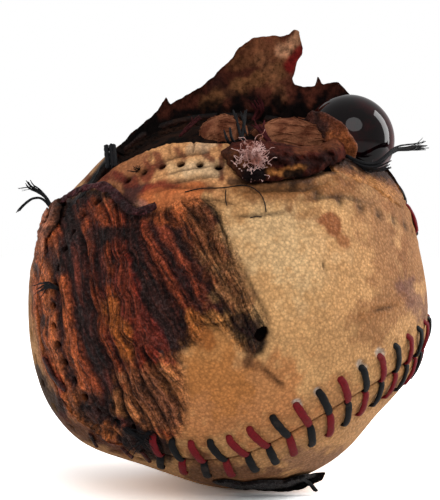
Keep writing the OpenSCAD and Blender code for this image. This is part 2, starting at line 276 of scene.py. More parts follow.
def path_distance(pixels, path):
    """Distance of each pixel from a drawn line, and how far along the line it is, 0 to 1."""
    path = np.asarray(path, float)
    best = np.full(len(pixels), np.inf)
    along = np.zeros(len(pixels))
    for k, (a, b) in enumerate(zip(path[:-1], path[1:])):
        t = np.clip((pixels - a) @ (b - a) / max((b - a) @ (b - a), TINY), 0, 1)
        d = lengths(pixels - (a + t[:, None] * (b - a)))
        nearer = d < best
        best[nearer] = d[nearer]
        along[nearer] = (k + t[nearer]) / (len(path) - 1)
    return best, along


def inside_distance(pixels, outline):
    """Distance to an outline, positive inside it."""
    outline = np.asarray(outline, float)
    closed = np.vstack((outline, outline[:1]))
    distance, _ = path_distance(pixels, closed)
    inside = np.zeros(len(pixels), bool)
    for (x0, y0), (x1, y1) in zip(closed[:-1], closed[1:]):
        if y0 != y1:
            crosses = (y0 > pixels[:, 1]) != (y1 > pixels[:, 1])
            at = (x1 - x0) * (pixels[:, 1] - y0) / (y1 - y0) + x0
            inside ^= crosses & (pixels[:, 0] < at)
    return np.where(inside, distance, -distance)


# Seam

SEAM_FRAME = (turned(2, math.radians(SEAM_TURN[2])) @ turned(1, math.radians(SEAM_TURN[1]))
              @ turned(0, math.radians(SEAM_TURN[0])))


def seam_distance(points):
    """Distance from the seam, positive on the front panel."""
    way = unit(points) @ SEAM_FRAME
    c, s = math.cos(LOBE_TILT), math.sin(LOBE_TILT)
    to_front = np.arccos(np.clip(np.abs(way[:, 0]) * c - way[:, 2] * s, -1, 1))
    to_rear = np.arccos(np.clip(np.abs(way[:, 1]) * c + way[:, 2] * s, -1, 1))
    return BALL_R * np.where(way[:, 2] > 0, to_rear - LOBE_SPREAD, LOBE_SPREAD - to_front)


def stitch_places():
    """Every stitch: where it leaves the slit, the way the seam runs there, its two holes with the
    colour of the thread that goes to each, and whether it is torn out."""
    places = []
    deep, wide = math.cos(LOBE_SPREAD), math.sin(LOBE_SPREAD)
    reach = STITCH_REACH / BALL_R
    for arc, (on_rear, far, way) in enumerate(SEAM_ARCS):
        turn = SEAM_FRAME
        if on_rear:
            turn = turn @ turned(2, math.pi / 2) @ turned(0, math.pi)
        if far:
            turn = turn @ turned(2, math.pi)
        turn = turn @ turned(1, math.pi / 2 + LOBE_TILT)
        for i in range(ARC_STITCHES):
            phi = way * ((2 * i + 1) / ARC_STITCHES - 1) * ARC_HALF
            c, s = math.cos(phi), math.sin(phi)
            apex = turn @ np.array((wide * c, wide * s, deep))
            outward = turn @ np.array((deep * c, deep * s, -wide))
            onward = way * (turn @ np.array((-s, c, 0.0)))
            legs = [(side * HOLE_OFFSET * outward - STITCH_LAG * onward) / STITCH_REACH
                    for side in (-1, 1)]
            places.append({
                "apex": apex, "onward": onward, "torn": i in TORN_STITCHES[arc],
                "holes": [apex * math.cos(reach) + leg * math.sin(reach) for leg in legs],
                "threads": ("black", "red") if (i + arc) % 2 else ("red", "black")})
    return places


STITCHES = stitch_places()
APEXES = np.array([stitch["apex"] for stitch in STITCHES])
TORN = np.array([stitch["torn"] for stitch in STITCHES], float)
HOLES = np.array([stitch["holes"] for stitch in STITCHES])


def torn_share(way):
    """1 where the nearest stitch is torn out, and 0 elsewhere."""
    return TORN[(way @ APEXES.T).argmax(1)]


def hole_distance(way, holes):
    """Distance along the leather to the nearest of some holes."""
    return BALL_R * np.arccos(np.clip((way @ holes.reshape(-1, 3).T).max(1), -1, 1))


# Mesh making

def build(name, points, faces, material, slot, nodes=(), tint=None, masks=None):
    """A mesh piece in metres that rides on the ball and stands for the CAD nodes named."""
    mesh = bpy.data.meshes.new(name)
    mesh.from_pydata(((points + CENTRE) * MM).tolist(), [], faces.tolist())
    mesh.validate()
    mesh.shade_smooth()
    if tint is not None:
        colours = np.ones((len(points), 4))
        colours[:, :3] = np.clip(tint, 0, 1)
        layer = mesh.color_attributes.new("tint", "FLOAT_COLOR", "POINT")
        layer.data.foreach_set("color", colours.ravel())
    for key, values in (masks or {}).items():
        layer = mesh.attributes.new(key, "FLOAT", "POINT")
        layer.data.foreach_set("value", np.full(len(points), values, float))
    mesh.update()
    piece = bpy.data.objects.new(name, mesh)
    bpy.context.scene.collection.objects.link(piece)
    piece.data.materials.append(material)
    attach(piece, BODY)
    if nodes:
        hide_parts(*nodes)


def squares(*corners):
    """Two triangles for every square between four matching lists of point numbers."""
    a, b, c, d = (corner.ravel() for corner in corners)
    return np.concatenate((np.stack((a, b, c), 1), np.stack((a, c, d), 1)))


def sheet_faces(rows, columns):
    """Triangles of a flat grid of points."""
    at = np.arange(rows * columns).reshape(rows, columns)
    return squares(at[:-1, :-1], at[1:, :-1], at[1:, 1:], at[:-1, 1:])


def ring_faces(rings, sides, first=0):
    """Numbers of the points in closed rings, of their neighbours, and the triangles between."""
    at = first + np.arange(rings * sides).reshape(rings, sides)
    onward = np.roll(at, -1, axis=1)
    return at, onward, squares(at[:-1], at[1:], onward[1:], onward[:-1])


def fan(tip, ring, onward):
    return np.stack((np.full(len(ring), tip), ring, onward), 1)


def clip(points, faces, field):
    """Cuts triangles along field = 0 and keeps the positive side."""
    keep = (field > 0)[faces]
    count = keep.sum(1)
    whole = faces[count == 3]
    one, two = faces[count == 1], faces[count == 2]
    one_at = keep[count == 1].argmax(1)
    two_at = (~keep[count == 2]).argmax(1)
    pick = np.arange(3)
    one = np.take_along_axis(one, (one_at[:, None] + pick) % 3, 1)
    two = np.take_along_axis(two, (two_at[:, None] + pick) % 3, 1)
    starts = np.concatenate((one[:, 0], one[:, 0], two[:, 0], two[:, 0]))
    ends = np.concatenate((one[:, 1], one[:, 2], two[:, 1], two[:, 2]))
    low, high = np.minimum(starts, ends), np.maximum(starts, ends)
    keys, back = np.unique(low * len(points) + high, return_inverse=True)
    a, b = keys // len(points), keys % len(points)
    share = (field[a] / (field[a] - field[b]))[:, None]
    added = points[a] + share * (points[b] - points[a])
    back = back.ravel() + len(points)
    n1, n2 = len(one), len(two)
    ab1, ac1, ab2, ac2 = np.split(back, np.cumsum((n1, n1, n2)))
    faces = np.concatenate((whole, np.stack((one[:, 0], ab1, ac1), 1),
                            squares(ab2, two[:, 1], two[:, 2], ac2)))
    points = np.concatenate((points, added))
    used, faces = np.unique(faces, return_inverse=True)
    return points[used], faces.reshape(-1, 3)


def shell(outer, inner, faces):
    """A closed skin from two matching surfaces, with walls along their open edges."""
    n = len(outer)
    edges = np.concatenate((faces[:, (0, 1)], faces[:, (1, 2)], faces[:, (2, 0)]))
    keys = edges[:, 0] * n + edges[:, 1]
    a, b = edges[~np.isin(keys, edges[:, 1] * n + edges[:, 0])].T
    walls = squares(b, a, a + n, b + n)
    return np.concatenate((outer, inner)), np.concatenate((faces, faces[:, ::-1] + n, walls))


def merge(parts):
    points, faces, shift = [], [], 0
    for p, f in parts:
        points.append(p)
        faces.append(f + shift)
        shift += len(p)
    return np.concatenate(points), np.concatenate(faces)


def face_normals(points, faces):
    a, b, c = points[faces[:, 0]], points[faces[:, 1]], points[faces[:, 2]]
    return np.cross(b - a, c - a)


def round_mesh(cells, dense=0.0):
    """An even mesh over the unit ball, finer towards the camera where dense is over 0."""
    line = np.tan(np.linspace(-1, 1, cells + 1) * math.pi / 4)
    u, v = np.meshgrid(line, line, indexing="ij")
    u, v, w = u.ravel(), v.ravel(), np.ones((cells + 1) ** 2)
    square = sheet_faces(cells + 1, cells + 1)
    sides = ((w, u, v), (-w, v, u), (v, w, u), (u, -w, v), (u, v, w), (v, u, -w))
    points, faces = merge([(np.stack(side, 1), square) for side in sides])
    points = unit(points)
    _, first, back = np.unique(np.round(points, 6), axis=0, return_index=True, return_inverse=True)
    points, faces = points[first], back.reshape(-1)[faces]
    wrong = (face_normals(points, faces) * points[faces].mean(1)).sum(1) < 0
    faces[wrong] = faces[wrong][:, ::-1]
    ahead = np.array((0.0, -1.0, 0.0))
    theta = np.arccos(np.clip(points @ ahead, -1, 1))
    across = unit(points - (points @ ahead)[:, None] * ahead)
    theta = theta - dense * np.sin(theta)
    return unit(np.cos(theta)[:, None] * ahead + np.sin(theta)[:, None] * across), faces


def curve(spots, count):
    """A smooth line through roughly the given places, evenly divided."""
    line = np.asarray(spots, float)
    for _ in range(3):
        q = line[:-1] * 0.75 + line[1:] * 0.25
        r = line[:-1] * 0.25 + line[1:] * 0.75
        line = np.concatenate((line[:1], np.stack((q, r), 1).reshape(-1, 3)[1:-1], line[-1:]))
    run = np.concatenate(((0,), np.cumsum(lengths(np.diff(line, axis=0)))))
    at = np.linspace(0, run[-1], count)
    return np.stack([np.interp(at, run, line[:, k]) for k in range(3)], 1)


END_ROUNDING = 0.3
PLY = 0.2
FLAT_THREAD = 2.2


def tube(path, radius, sides, turns, wide=1.0, ply=PLY):
    """A closed thread along a path, with a turning ply groove, flattened where wide is over 1."""
    count = len(path)
    radius = np.broadcast_to(np.asarray(radius, float), (count,))
    along = unit(np.gradient(path, axis=0))
    side = unit(np.cross(along, unit(path)))
    up = np.cross(side, along)
    spin = np.linspace(0, turns * 2 * math.pi, count)[:, None]
    angle = np.linspace(0, 2 * math.pi, sides, endpoint=False)[None, :]
    groove = 1 - ply * np.abs(np.cos(angle - spin)) ** 6
    a, b = np.cos(angle) * wide * groove, np.sin(angle) * groove
    rings = (path[:, None, :] + radius[:, None, None]
             * (a[..., None] * side[:, None, :] + b[..., None] * up[:, None, :]))
    at, onward, faces = ring_faces(count, sides)
    start, end = count * sides, count * sides + 1
    faces = np.concatenate((faces, fan(start, at[0], onward[0]), fan(end, onward[-1], at[-1])))
    points = np.concatenate((rings.reshape(-1, 3),
                             path[:1] - along[:1] * radius[0] * END_ROUNDING,
                             path[-1:] + along[-1:] * radius[-1] * END_ROUNDING))
    return points, faces[:, ::-1]


def patch(outline, step, front, back, ragged, seed):
    """A closed piece over the pixels inside a ragged outline. front and back give its points for
    pixels and for their depth inside the outline. It returns points, faces and pixels."""
    outline = np.asarray(outline, float)
    low, high = outline.min(0) - 2 * step, outline.max(0) + 2 * step
    x, y = np.meshgrid(np.arange(low[0], high[0], step), np.arange(low[1], high[1], step))
    spots = flat(np.stack((x.ravel(), y.ravel()), 1))
    field = inside_distance(spots[:, :2], outline) + ragged * rough(spots, 7.0, 3, seed)
    spots[:, 2] = field
    spots, faces = clip(spots, sheet_faces(*x.shape), field)
    pixels, depth = spots[:, :2], np.maximum(spots[:, 2], 0)
    points, faces = shell(front(pixels, depth), back(pixels, depth), faces)
    return points, faces, np.concatenate((pixels, pixels))


def laid_patch(outline, step, rise, under, ragged, seed):
    """A patch that lies on the leather: its top at rise(pixels, depth), its underside at under."""
    def front(pixels, depth):
        return lifted(np.column_stack((pixels, rise(pixels, depth))))

    def back(pixels, depth):
        return lifted(np.column_stack((pixels, np.full(len(pixels), under))))

    return patch(outline, step, front, back, ragged, seed)


# Finishes

class Nodes:
    """Adds nodes to one tree and joins them."""

    def __init__(self, tree):
        self.tree = tree

    def add(self, kind, inputs=None, **settings):
        node = self.tree.nodes.new(kind)
        for key, value in settings.items():
            setattr(node, key, value)
        for key, value in (inputs or {}).items():
            self.feed(node.inputs[key], value)
        return node

    def feed(self, socket, value):
        if isinstance(value, bpy.types.NodeSocket):
            self.tree.links.new(value, socket)
        elif isinstance(socket.default_value, (int, float)):
            socket.default_value = value
        else:
            value = list(value)
            socket.default_value = value + [1.0] * (len(socket.default_value) - len(value))

    def maths(self, operation, a, b):
        return self.add("ShaderNodeMath", {0: a, 1: b}, operation=operation).outputs[0]

    def sum(self, a, b):
        return self.maths("ADD", a, b)

    def times(self, a, b):
        return self.maths("MULTIPLY", a, b)


class Finish(Nodes):
    """Builds one material, with sizes in millimetres."""

    def __init__(self, name):
        self.material = bpy.data.materials.new(name)
        self.material.use_nodes = True
        super().__init__(self.material.node_tree)
        self.shader = self.tree.nodes["Principled BSDF"]
        self.place = self.add("ShaderNodeTexCoord").outputs["Object"]

    def noise(self, size, detail, rough_share=0.55, stretch=None):
        """Soft patches of about this size, from 0 to 1."""
        place = self.place
        if stretch:
            place = self.add("ShaderNodeMapping", {"Vector": place, "Scale": stretch}).outputs[0]
        inputs = {"Vector": place, "Scale": 1 / (size * MM), "Detail": detail,
                  "Roughness": rough_share}
        return self.add("ShaderNodeTexNoise", inputs).outputs["Fac"]

    def strands(self, course, across, wander, rise):
        """Fine lines that run where course stays the same, bent by wander."""
        side = self.sum(self.times(course, across), self.times(*wander))
        up = self.add("ShaderNodeSeparateXYZ", {0: self.place}).outputs[2]
        spot = self.add("ShaderNodeCombineXYZ", {0: side, 1: self.times(up, rise / MM)}).outputs[0]
        inputs = {"Vector": spot, "Scale": 1.0, "Detail": 5.0, "Roughness": 0.7}
        return self.add("ShaderNodeTexNoise", inputs, noise_dimensions="2D").outputs["Fac"]

    def cells(self, size):
        """Round grains of about this size: the distance from each one's middle."""
        inputs = {"Vector": self.place, "Scale": 1 / (size * MM)}
        return self.add("ShaderNodeTexVoronoi", inputs).outputs["Distance"]

    def value(self, name):
        """A number that the piece's points carry."""
        return self.add("ShaderNodeAttribute", attribute_name=name).outputs["Fac"]

    def tint(self):
        """The colour painted on the piece's points."""
        return self.add("ShaderNodeAttribute", attribute_name="tint").outputs["Color"]

    def span(self, value, low, high, to_low, to_high):
        """A value moved from the range low to high into the range to_low to to_high."""
        inputs = {"Value": value, "From Min": low, "From Max": high, "To Min": to_low,
                  "To Max": to_high}
        return self.add("ShaderNodeMapRange", inputs).outputs[0]

    def mix(self, share, a, b, blend="MIX"):
        node = self.add("ShaderNodeMix", data_type="RGBA", blend_type=blend)
        for socket, value in ((0, share), (6, a), (7, b)):
            self.feed(node.inputs[socket], value)
        return node.outputs[2]

    def two_tones(self, share, colour, other):
        return self.mix(share, linear(colour), linear(other))

    def scale(self, colour, *shares):
        """A colour made darker or lighter by one value after another."""
        for share in shares:
            grey = self.add("ShaderNodeCombineColor", {0: share, 1: share, 2: share}).outputs[0]
            colour = self.mix(1.0, colour, grey, "MULTIPLY")
        return colour

    def bump(self, height, depth, strength):
        node = self.add("ShaderNodeBump", {"Height": height, "Distance": depth * MM,
                                           "Strength": strength})
        self.tree.links.new(node.outputs[0], self.shader.inputs["Normal"])

    def set(self, **inputs):
        for key, value in inputs.items():
            self.feed(self.shader.inputs[key.replace("_", " ")], value)
        return self.material


# How closely the burnt leather's strands lie across its creases, how far its patches bend them,
# and how closely they lie up the ball
STRANDS_ACROSS = 4.5
STRANDS_WANDER = 2.5
STRANDS_UP = 0.2


def leather_finish(name, pebble):
    """Worn pebbled leather over its own tint, rougher and darker in the valleys of the grain. Where
    it is charred it is stranded and crackled, with glints."""
    make = Finish(name)
    grain = make.cells(pebble)
    fine = make.noise(0.3, 5, 0.65)
    patchy = make.noise(5.0, 4, 0.6)
    char = make.value("char")
    strands = make.strands(make.value("flow"), STRANDS_ACROSS, (patchy, STRANDS_WANDER), STRANDS_UP)
    crackle = make.noise(0.6, 6, 0.75)

    def burnt(value, low, high, to_low, to_high):
        return make.times(char, make.span(value, low, high, to_low, to_high))

    tops = make.span(grain, 0.1, 0.75, 1.12, 0.68)
    mottle = make.span(patchy, 0.3, 0.7, 0.84, 1.10)
    specks = make.span(fine, 0.32, 0.68, 0.72, 1.2)
    streaks = make.sum(1.0, burnt(strands, 0.34, 0.64, -0.85, 0.75))
    cracks = make.sum(1.0, burnt(crackle, 0.38, 0.62, -0.55, 0.6))
    colour = make.scale(make.tint(), tops, mottle, specks, streaks, cracks)
    height = make.sum(make.span(grain, 0.0, 0.7, 1.0, 0.0), make.span(fine, 0.3, 0.7, 0.0, 0.35))
    height = make.sum(height, burnt(strands, 0.3, 0.7, 0.0, 2.6))
    height = make.sum(height, burnt(crackle, 0.3, 0.7, 0.0, 1.8))
    make.bump(height, 0.13, 0.9)
    glint = burnt(crackle, 0.5, 0.66, 0.0, 0.4)
    roughness = make.sum(make.span(grain, 0.1, 0.7, 0.46, 0.66),
                         make.span(char, 0.0, 1.0, 0.04, -0.14))
    return make.set(Base_Color=colour, Roughness=make.sum(roughness, make.times(glint, -0.3)),
                    Specular_IOR_Level=make.sum(0.12, glint))


def suede_finish(name):
    """Torn leather's fuzzy inside: matt, clumped and streaky."""
    make = Finish(name)
    clump = make.noise(1.1, 6, 0.72)
    nap = make.noise(0.3, 5, 0.75)
    streak = make.noise(0.8, 4, 0.6, (1.0, 1.0, 0.35))
    light = make.sum(make.span(clump, 0.34, 0.66, 0.35, 1.4),
                     make.span(streak, 0.35, 0.65, -0.2, 0.3))
    make.bump(make.sum(clump, make.times(nap, 0.6)), 0.9, 1.0)
    return make.set(Base_Color=make.scale(make.tint(), light), Roughness=0.9,
                    Specular_IOR_Level=0.08)


def thread_finish(name, colour, worn):
    """Waxed thread: satin, with its fibres showing and dull worn patches."""
    make = Finish(name)
    fibre = make.noise(0.22, 5, 0.7, (1.0, 1.0, 0.5))
    wear = make.noise(2.2, 4, 0.6)
    base = make.two_tones(make.span(wear, 0.56, 0.78, 0.0, 0.7), colour, worn)
    base = make.scale(base, make.span(fibre, 0.3, 0.7, 0.6, 1.4))
    make.bump(fibre, 0.08, 0.6)
    return make.set(Base_Color=base, Roughness=make.span(wear, 0.3, 0.7, 0.45, 0.65),
                    Specular_IOR_Level=0.12)


def yarn_finish(name, colour, other, size=0.25):
    """Wool yarn: two tones of fuzzy fibre."""
    make = Finish(name)
    fibre = make.noise(size, 6, 0.75)
    tone = make.noise(3.0, 4, 0.6)
    base = make.two_tones(make.span(tone, 0.4, 0.62, 0.0, 1.0), colour, other)
    base = make.scale(base, make.span(fibre, 0.3, 0.7, 0.55, 1.35))
    make.bump(fibre, 0.18, 0.9)
    return make.set(Base_Color=base, Roughness=0.95, Specular_IOR_Level=0.05)


def grainy_finish(name, colour, other, size, roughness, depth):
    """Cork, rubber and the like: a base colour with grains of another."""
    make = Finish(name)
    grains = make.cells(size)
    soft = make.noise(size * 3, 4, 0.6)
    base = make.two_tones(make.span(grains, 0.25, 0.6, 0.0, 1.0), colour, other)
    base = make.scale(base, make.span(soft, 0.3, 0.7, 0.8, 1.15))
    make.bump(make.sum(grains, soft), depth, 0.7)
    return make.set(Base_Color=base, Roughness=roughness)


def glass_finish(name, dark, rim):
    """Thick dark glass with a wine-red body that shows towards its rim and a fine haze of dust."""
    make = Finish(name)
    cloud = make.noise(6.0, 4, 0.55)
    dust = make.noise(0.5, 5, 0.7)
    red = make.sum(make.value("rim"), make.span(cloud, 0.4, 0.65, -0.15, 0.25))
    make.bump(cloud, 0.2, 0.2)
    return make.set(Base_Color=make.two_tones(red, dark, rim), IOR=1.3, Specular_IOR_Level=0.5,
                    Roughness=make.span(dust, 0.35, 0.75, 0.02, 0.07))


# What the picture shows

# Long creases of the shrunken leather, from the left edge towards the gash
FLOW_LINES = (
    ((38, 290), (40, 327), (46, 352), (56, 380)),
    ((57, 262), (60, 303), (64, 330), (66, 352), (76, 385)),
    ((66, 255), (70, 293), (75, 317), (84, 352), (96, 371), (102, 384)),
    ((87, 250), (89, 277), (96, 314), (104, 346), (112, 362), (122, 392)),
    ((97, 262), (101, 290), (108, 339), (118, 358), (132, 395)),
    ((112, 225), (116, 262), (122, 300), (133, 345), (150, 395)),
    ((121, 228), (125, 290), (131, 330), (143, 352), (156, 371), (175, 390), (180, 403)),
    ((127, 222), (128, 250), (140, 279), (151, 310), (167, 330), (178, 346)),
    ((139, 222), (148, 250), (161, 275), (175, 302), (186, 322), (191, 335)),
    ((150, 224), (159, 243), (175, 270), (191, 300), (204, 316), (222, 338)),
    ((168, 210), (178, 222), (188, 243), (206, 269), (222, 300), (240, 330)),
    ((190, 203), (198, 215), (207, 232), (218, 259), (232, 290), (248, 325)),
    ((207, 200), (216, 207), (237, 269), (250, 295), (262, 318)),
)

# Other creases: the line, its depth in millimetres and its half width in pixels
CREASES = (
    (((238, 192), (270, 190), (304, 190), (332, 180)), 0.5, 2.4),
    (((224, 218), (250, 216), (273, 214), (289, 211)), 0.3, 2.0),
    (((233, 184), (270, 180), (305, 176), (340, 168)), 0.6, 2.6),
    (((258, 363), (277, 381), (286, 386)), 0.2, 1.8),
    (((370, 312), (396, 306)), 0.2, 1.8),
    (((322, 261), (325, 271)), 0.2, 1.6),
    (((237, 255), (256, 295), (272, 324)), 0.35, 1.8),
    (((268, 338), (262, 350), (248, 362)), 0.35, 2.6),
    (((104, 382), (112, 401), (116, 414)), 0.35, 2.2),
    (((150, 166), (182, 156), (222, 150)), 0.3, 2.2),
    (((160, 186), (196, 178), (226, 174)), 0.25, 2.0),
    (((352, 176), (372, 186), (398, 196)), 0.4, 2.4),
    (((300, 200), (340, 196), (372, 204)), 0.2, 2.4),
    (((66, 400), (96, 424), (130, 440)), 0.35, 2.4),
    (((180, 204), (194, 232), (214, 274), (232, 306)), 0.3, 1.3),
    (((198, 200), (206, 222), (216, 246), (232, 280)), 0.35, 1.3),
    (((212, 202), (222, 228), (232, 250)), 0.3, 1.2),
    (((190, 322), (212, 326), (238, 318)), 0.25, 1.2),
    (((130, 330), (147, 357), (167, 384), (180, 408)), 0.5, 1.6),
    (((84, 236), (92, 280), (104, 330)), 0.5, 1.6),
    (((150, 152), (152, 158), (150, 164)), 0.3, 1.2),
    (((171, 146), (170, 153), (172, 159)), 0.3, 1.2),
    (((194, 141), (194, 149), (192, 156)), 0.3, 1.2),
    (((140, 196), (172, 188), (206, 188), (222, 184)), 0.25, 1.3),
    (((156, 178), (186, 170), (218, 166)), 0.2, 1.2),
    (((198, 180), (210, 176), (222, 178)), 0.2, 1.1),
    (((72, 420), (90, 408), (100, 396)), 0.3, 1.4),
    (((92, 436), (98, 424), (112, 414)), 0.3, 1.4),
    (((84, 405), (110, 418), (150, 428)), 0.35, 2.4),
    (((175, 200), (214, 200), (244, 206)), 0.25, 2.0),
)

# Where the leather is shrunken, wrinkled and burnt
BURNT_OUTLINE = (
    (28, 262), (40, 216), (60, 196), (100, 188), (130, 200), (156, 208), (182, 198), (207, 200),
    (220, 210), (232, 240), (248, 284), (270, 322), (268, 346), (250, 362), (240, 350), (224, 336),
    (206, 326), (198, 346), (184, 352), (186, 376), (192, 400), (184, 430), (160, 456), (110, 446),
    (60, 410), (40, 360), (30, 310),
)
# The burnt leather's tones, by the long crease that they lie beside
BURNT_TONES = (
    (-1.5, (0.52, 0.27, 0.14)), (0.0, (0.62, 0.32, 0.16)), (0.5, (0.64, 0.36, 0.19)),
    (0.9, (0.24, 0.09, 0.07)), (1.3, (0.62, 0.33, 0.17)), (1.8, (0.50, 0.24, 0.13)),
    (2.2, (0.13, 0.05, 0.05)), (2.5, (0.34, 0.15, 0.10)), (2.8, (0.13, 0.06, 0.05)),
    (3.1, (0.42, 0.20, 0.11)),
    (3.5, (0.50, 0.24, 0.12)), (4.1, (0.34, 0.13, 0.10)), (4.6, (0.52, 0.25, 0.11)),
    (5.2, (0.36, 0.13, 0.09)), (6.0, (0.44, 0.17, 0.09)), (6.7, (0.40, 0.13, 0.08)),
    (7.0, (0.10, 0.05, 0.04)), (7.3, (0.34, 0.16, 0.11)), (7.55, (0.10, 0.05, 0.04)),
    (7.8, (0.30, 0.14, 0.10)), (7.95, (0.10, 0.05, 0.035)), (8.2, (0.46, 0.20, 0.11)),
    (8.7, (0.42, 0.19, 0.12)), (9.0, (0.10, 0.05, 0.04)), (9.3, (0.44, 0.20, 0.12)),
    (9.8, (0.14, 0.07, 0.05)), (10.3, (0.50, 0.27, 0.16)), (10.8, (0.12, 0.06, 0.05)),
    (11.3, (0.40, 0.22, 0.14)), (11.8, (0.10, 0.06, 0.05)), (12.4, (0.52, 0.33, 0.19)),
)
# How much of each tone's red, green and blue the burnt leather has, and the least that it keeps
BURNT_LIGHT = (1.35, 1.18, 1.12)
CHAR_FLOOR = (0.028, 0.010, 0.008)

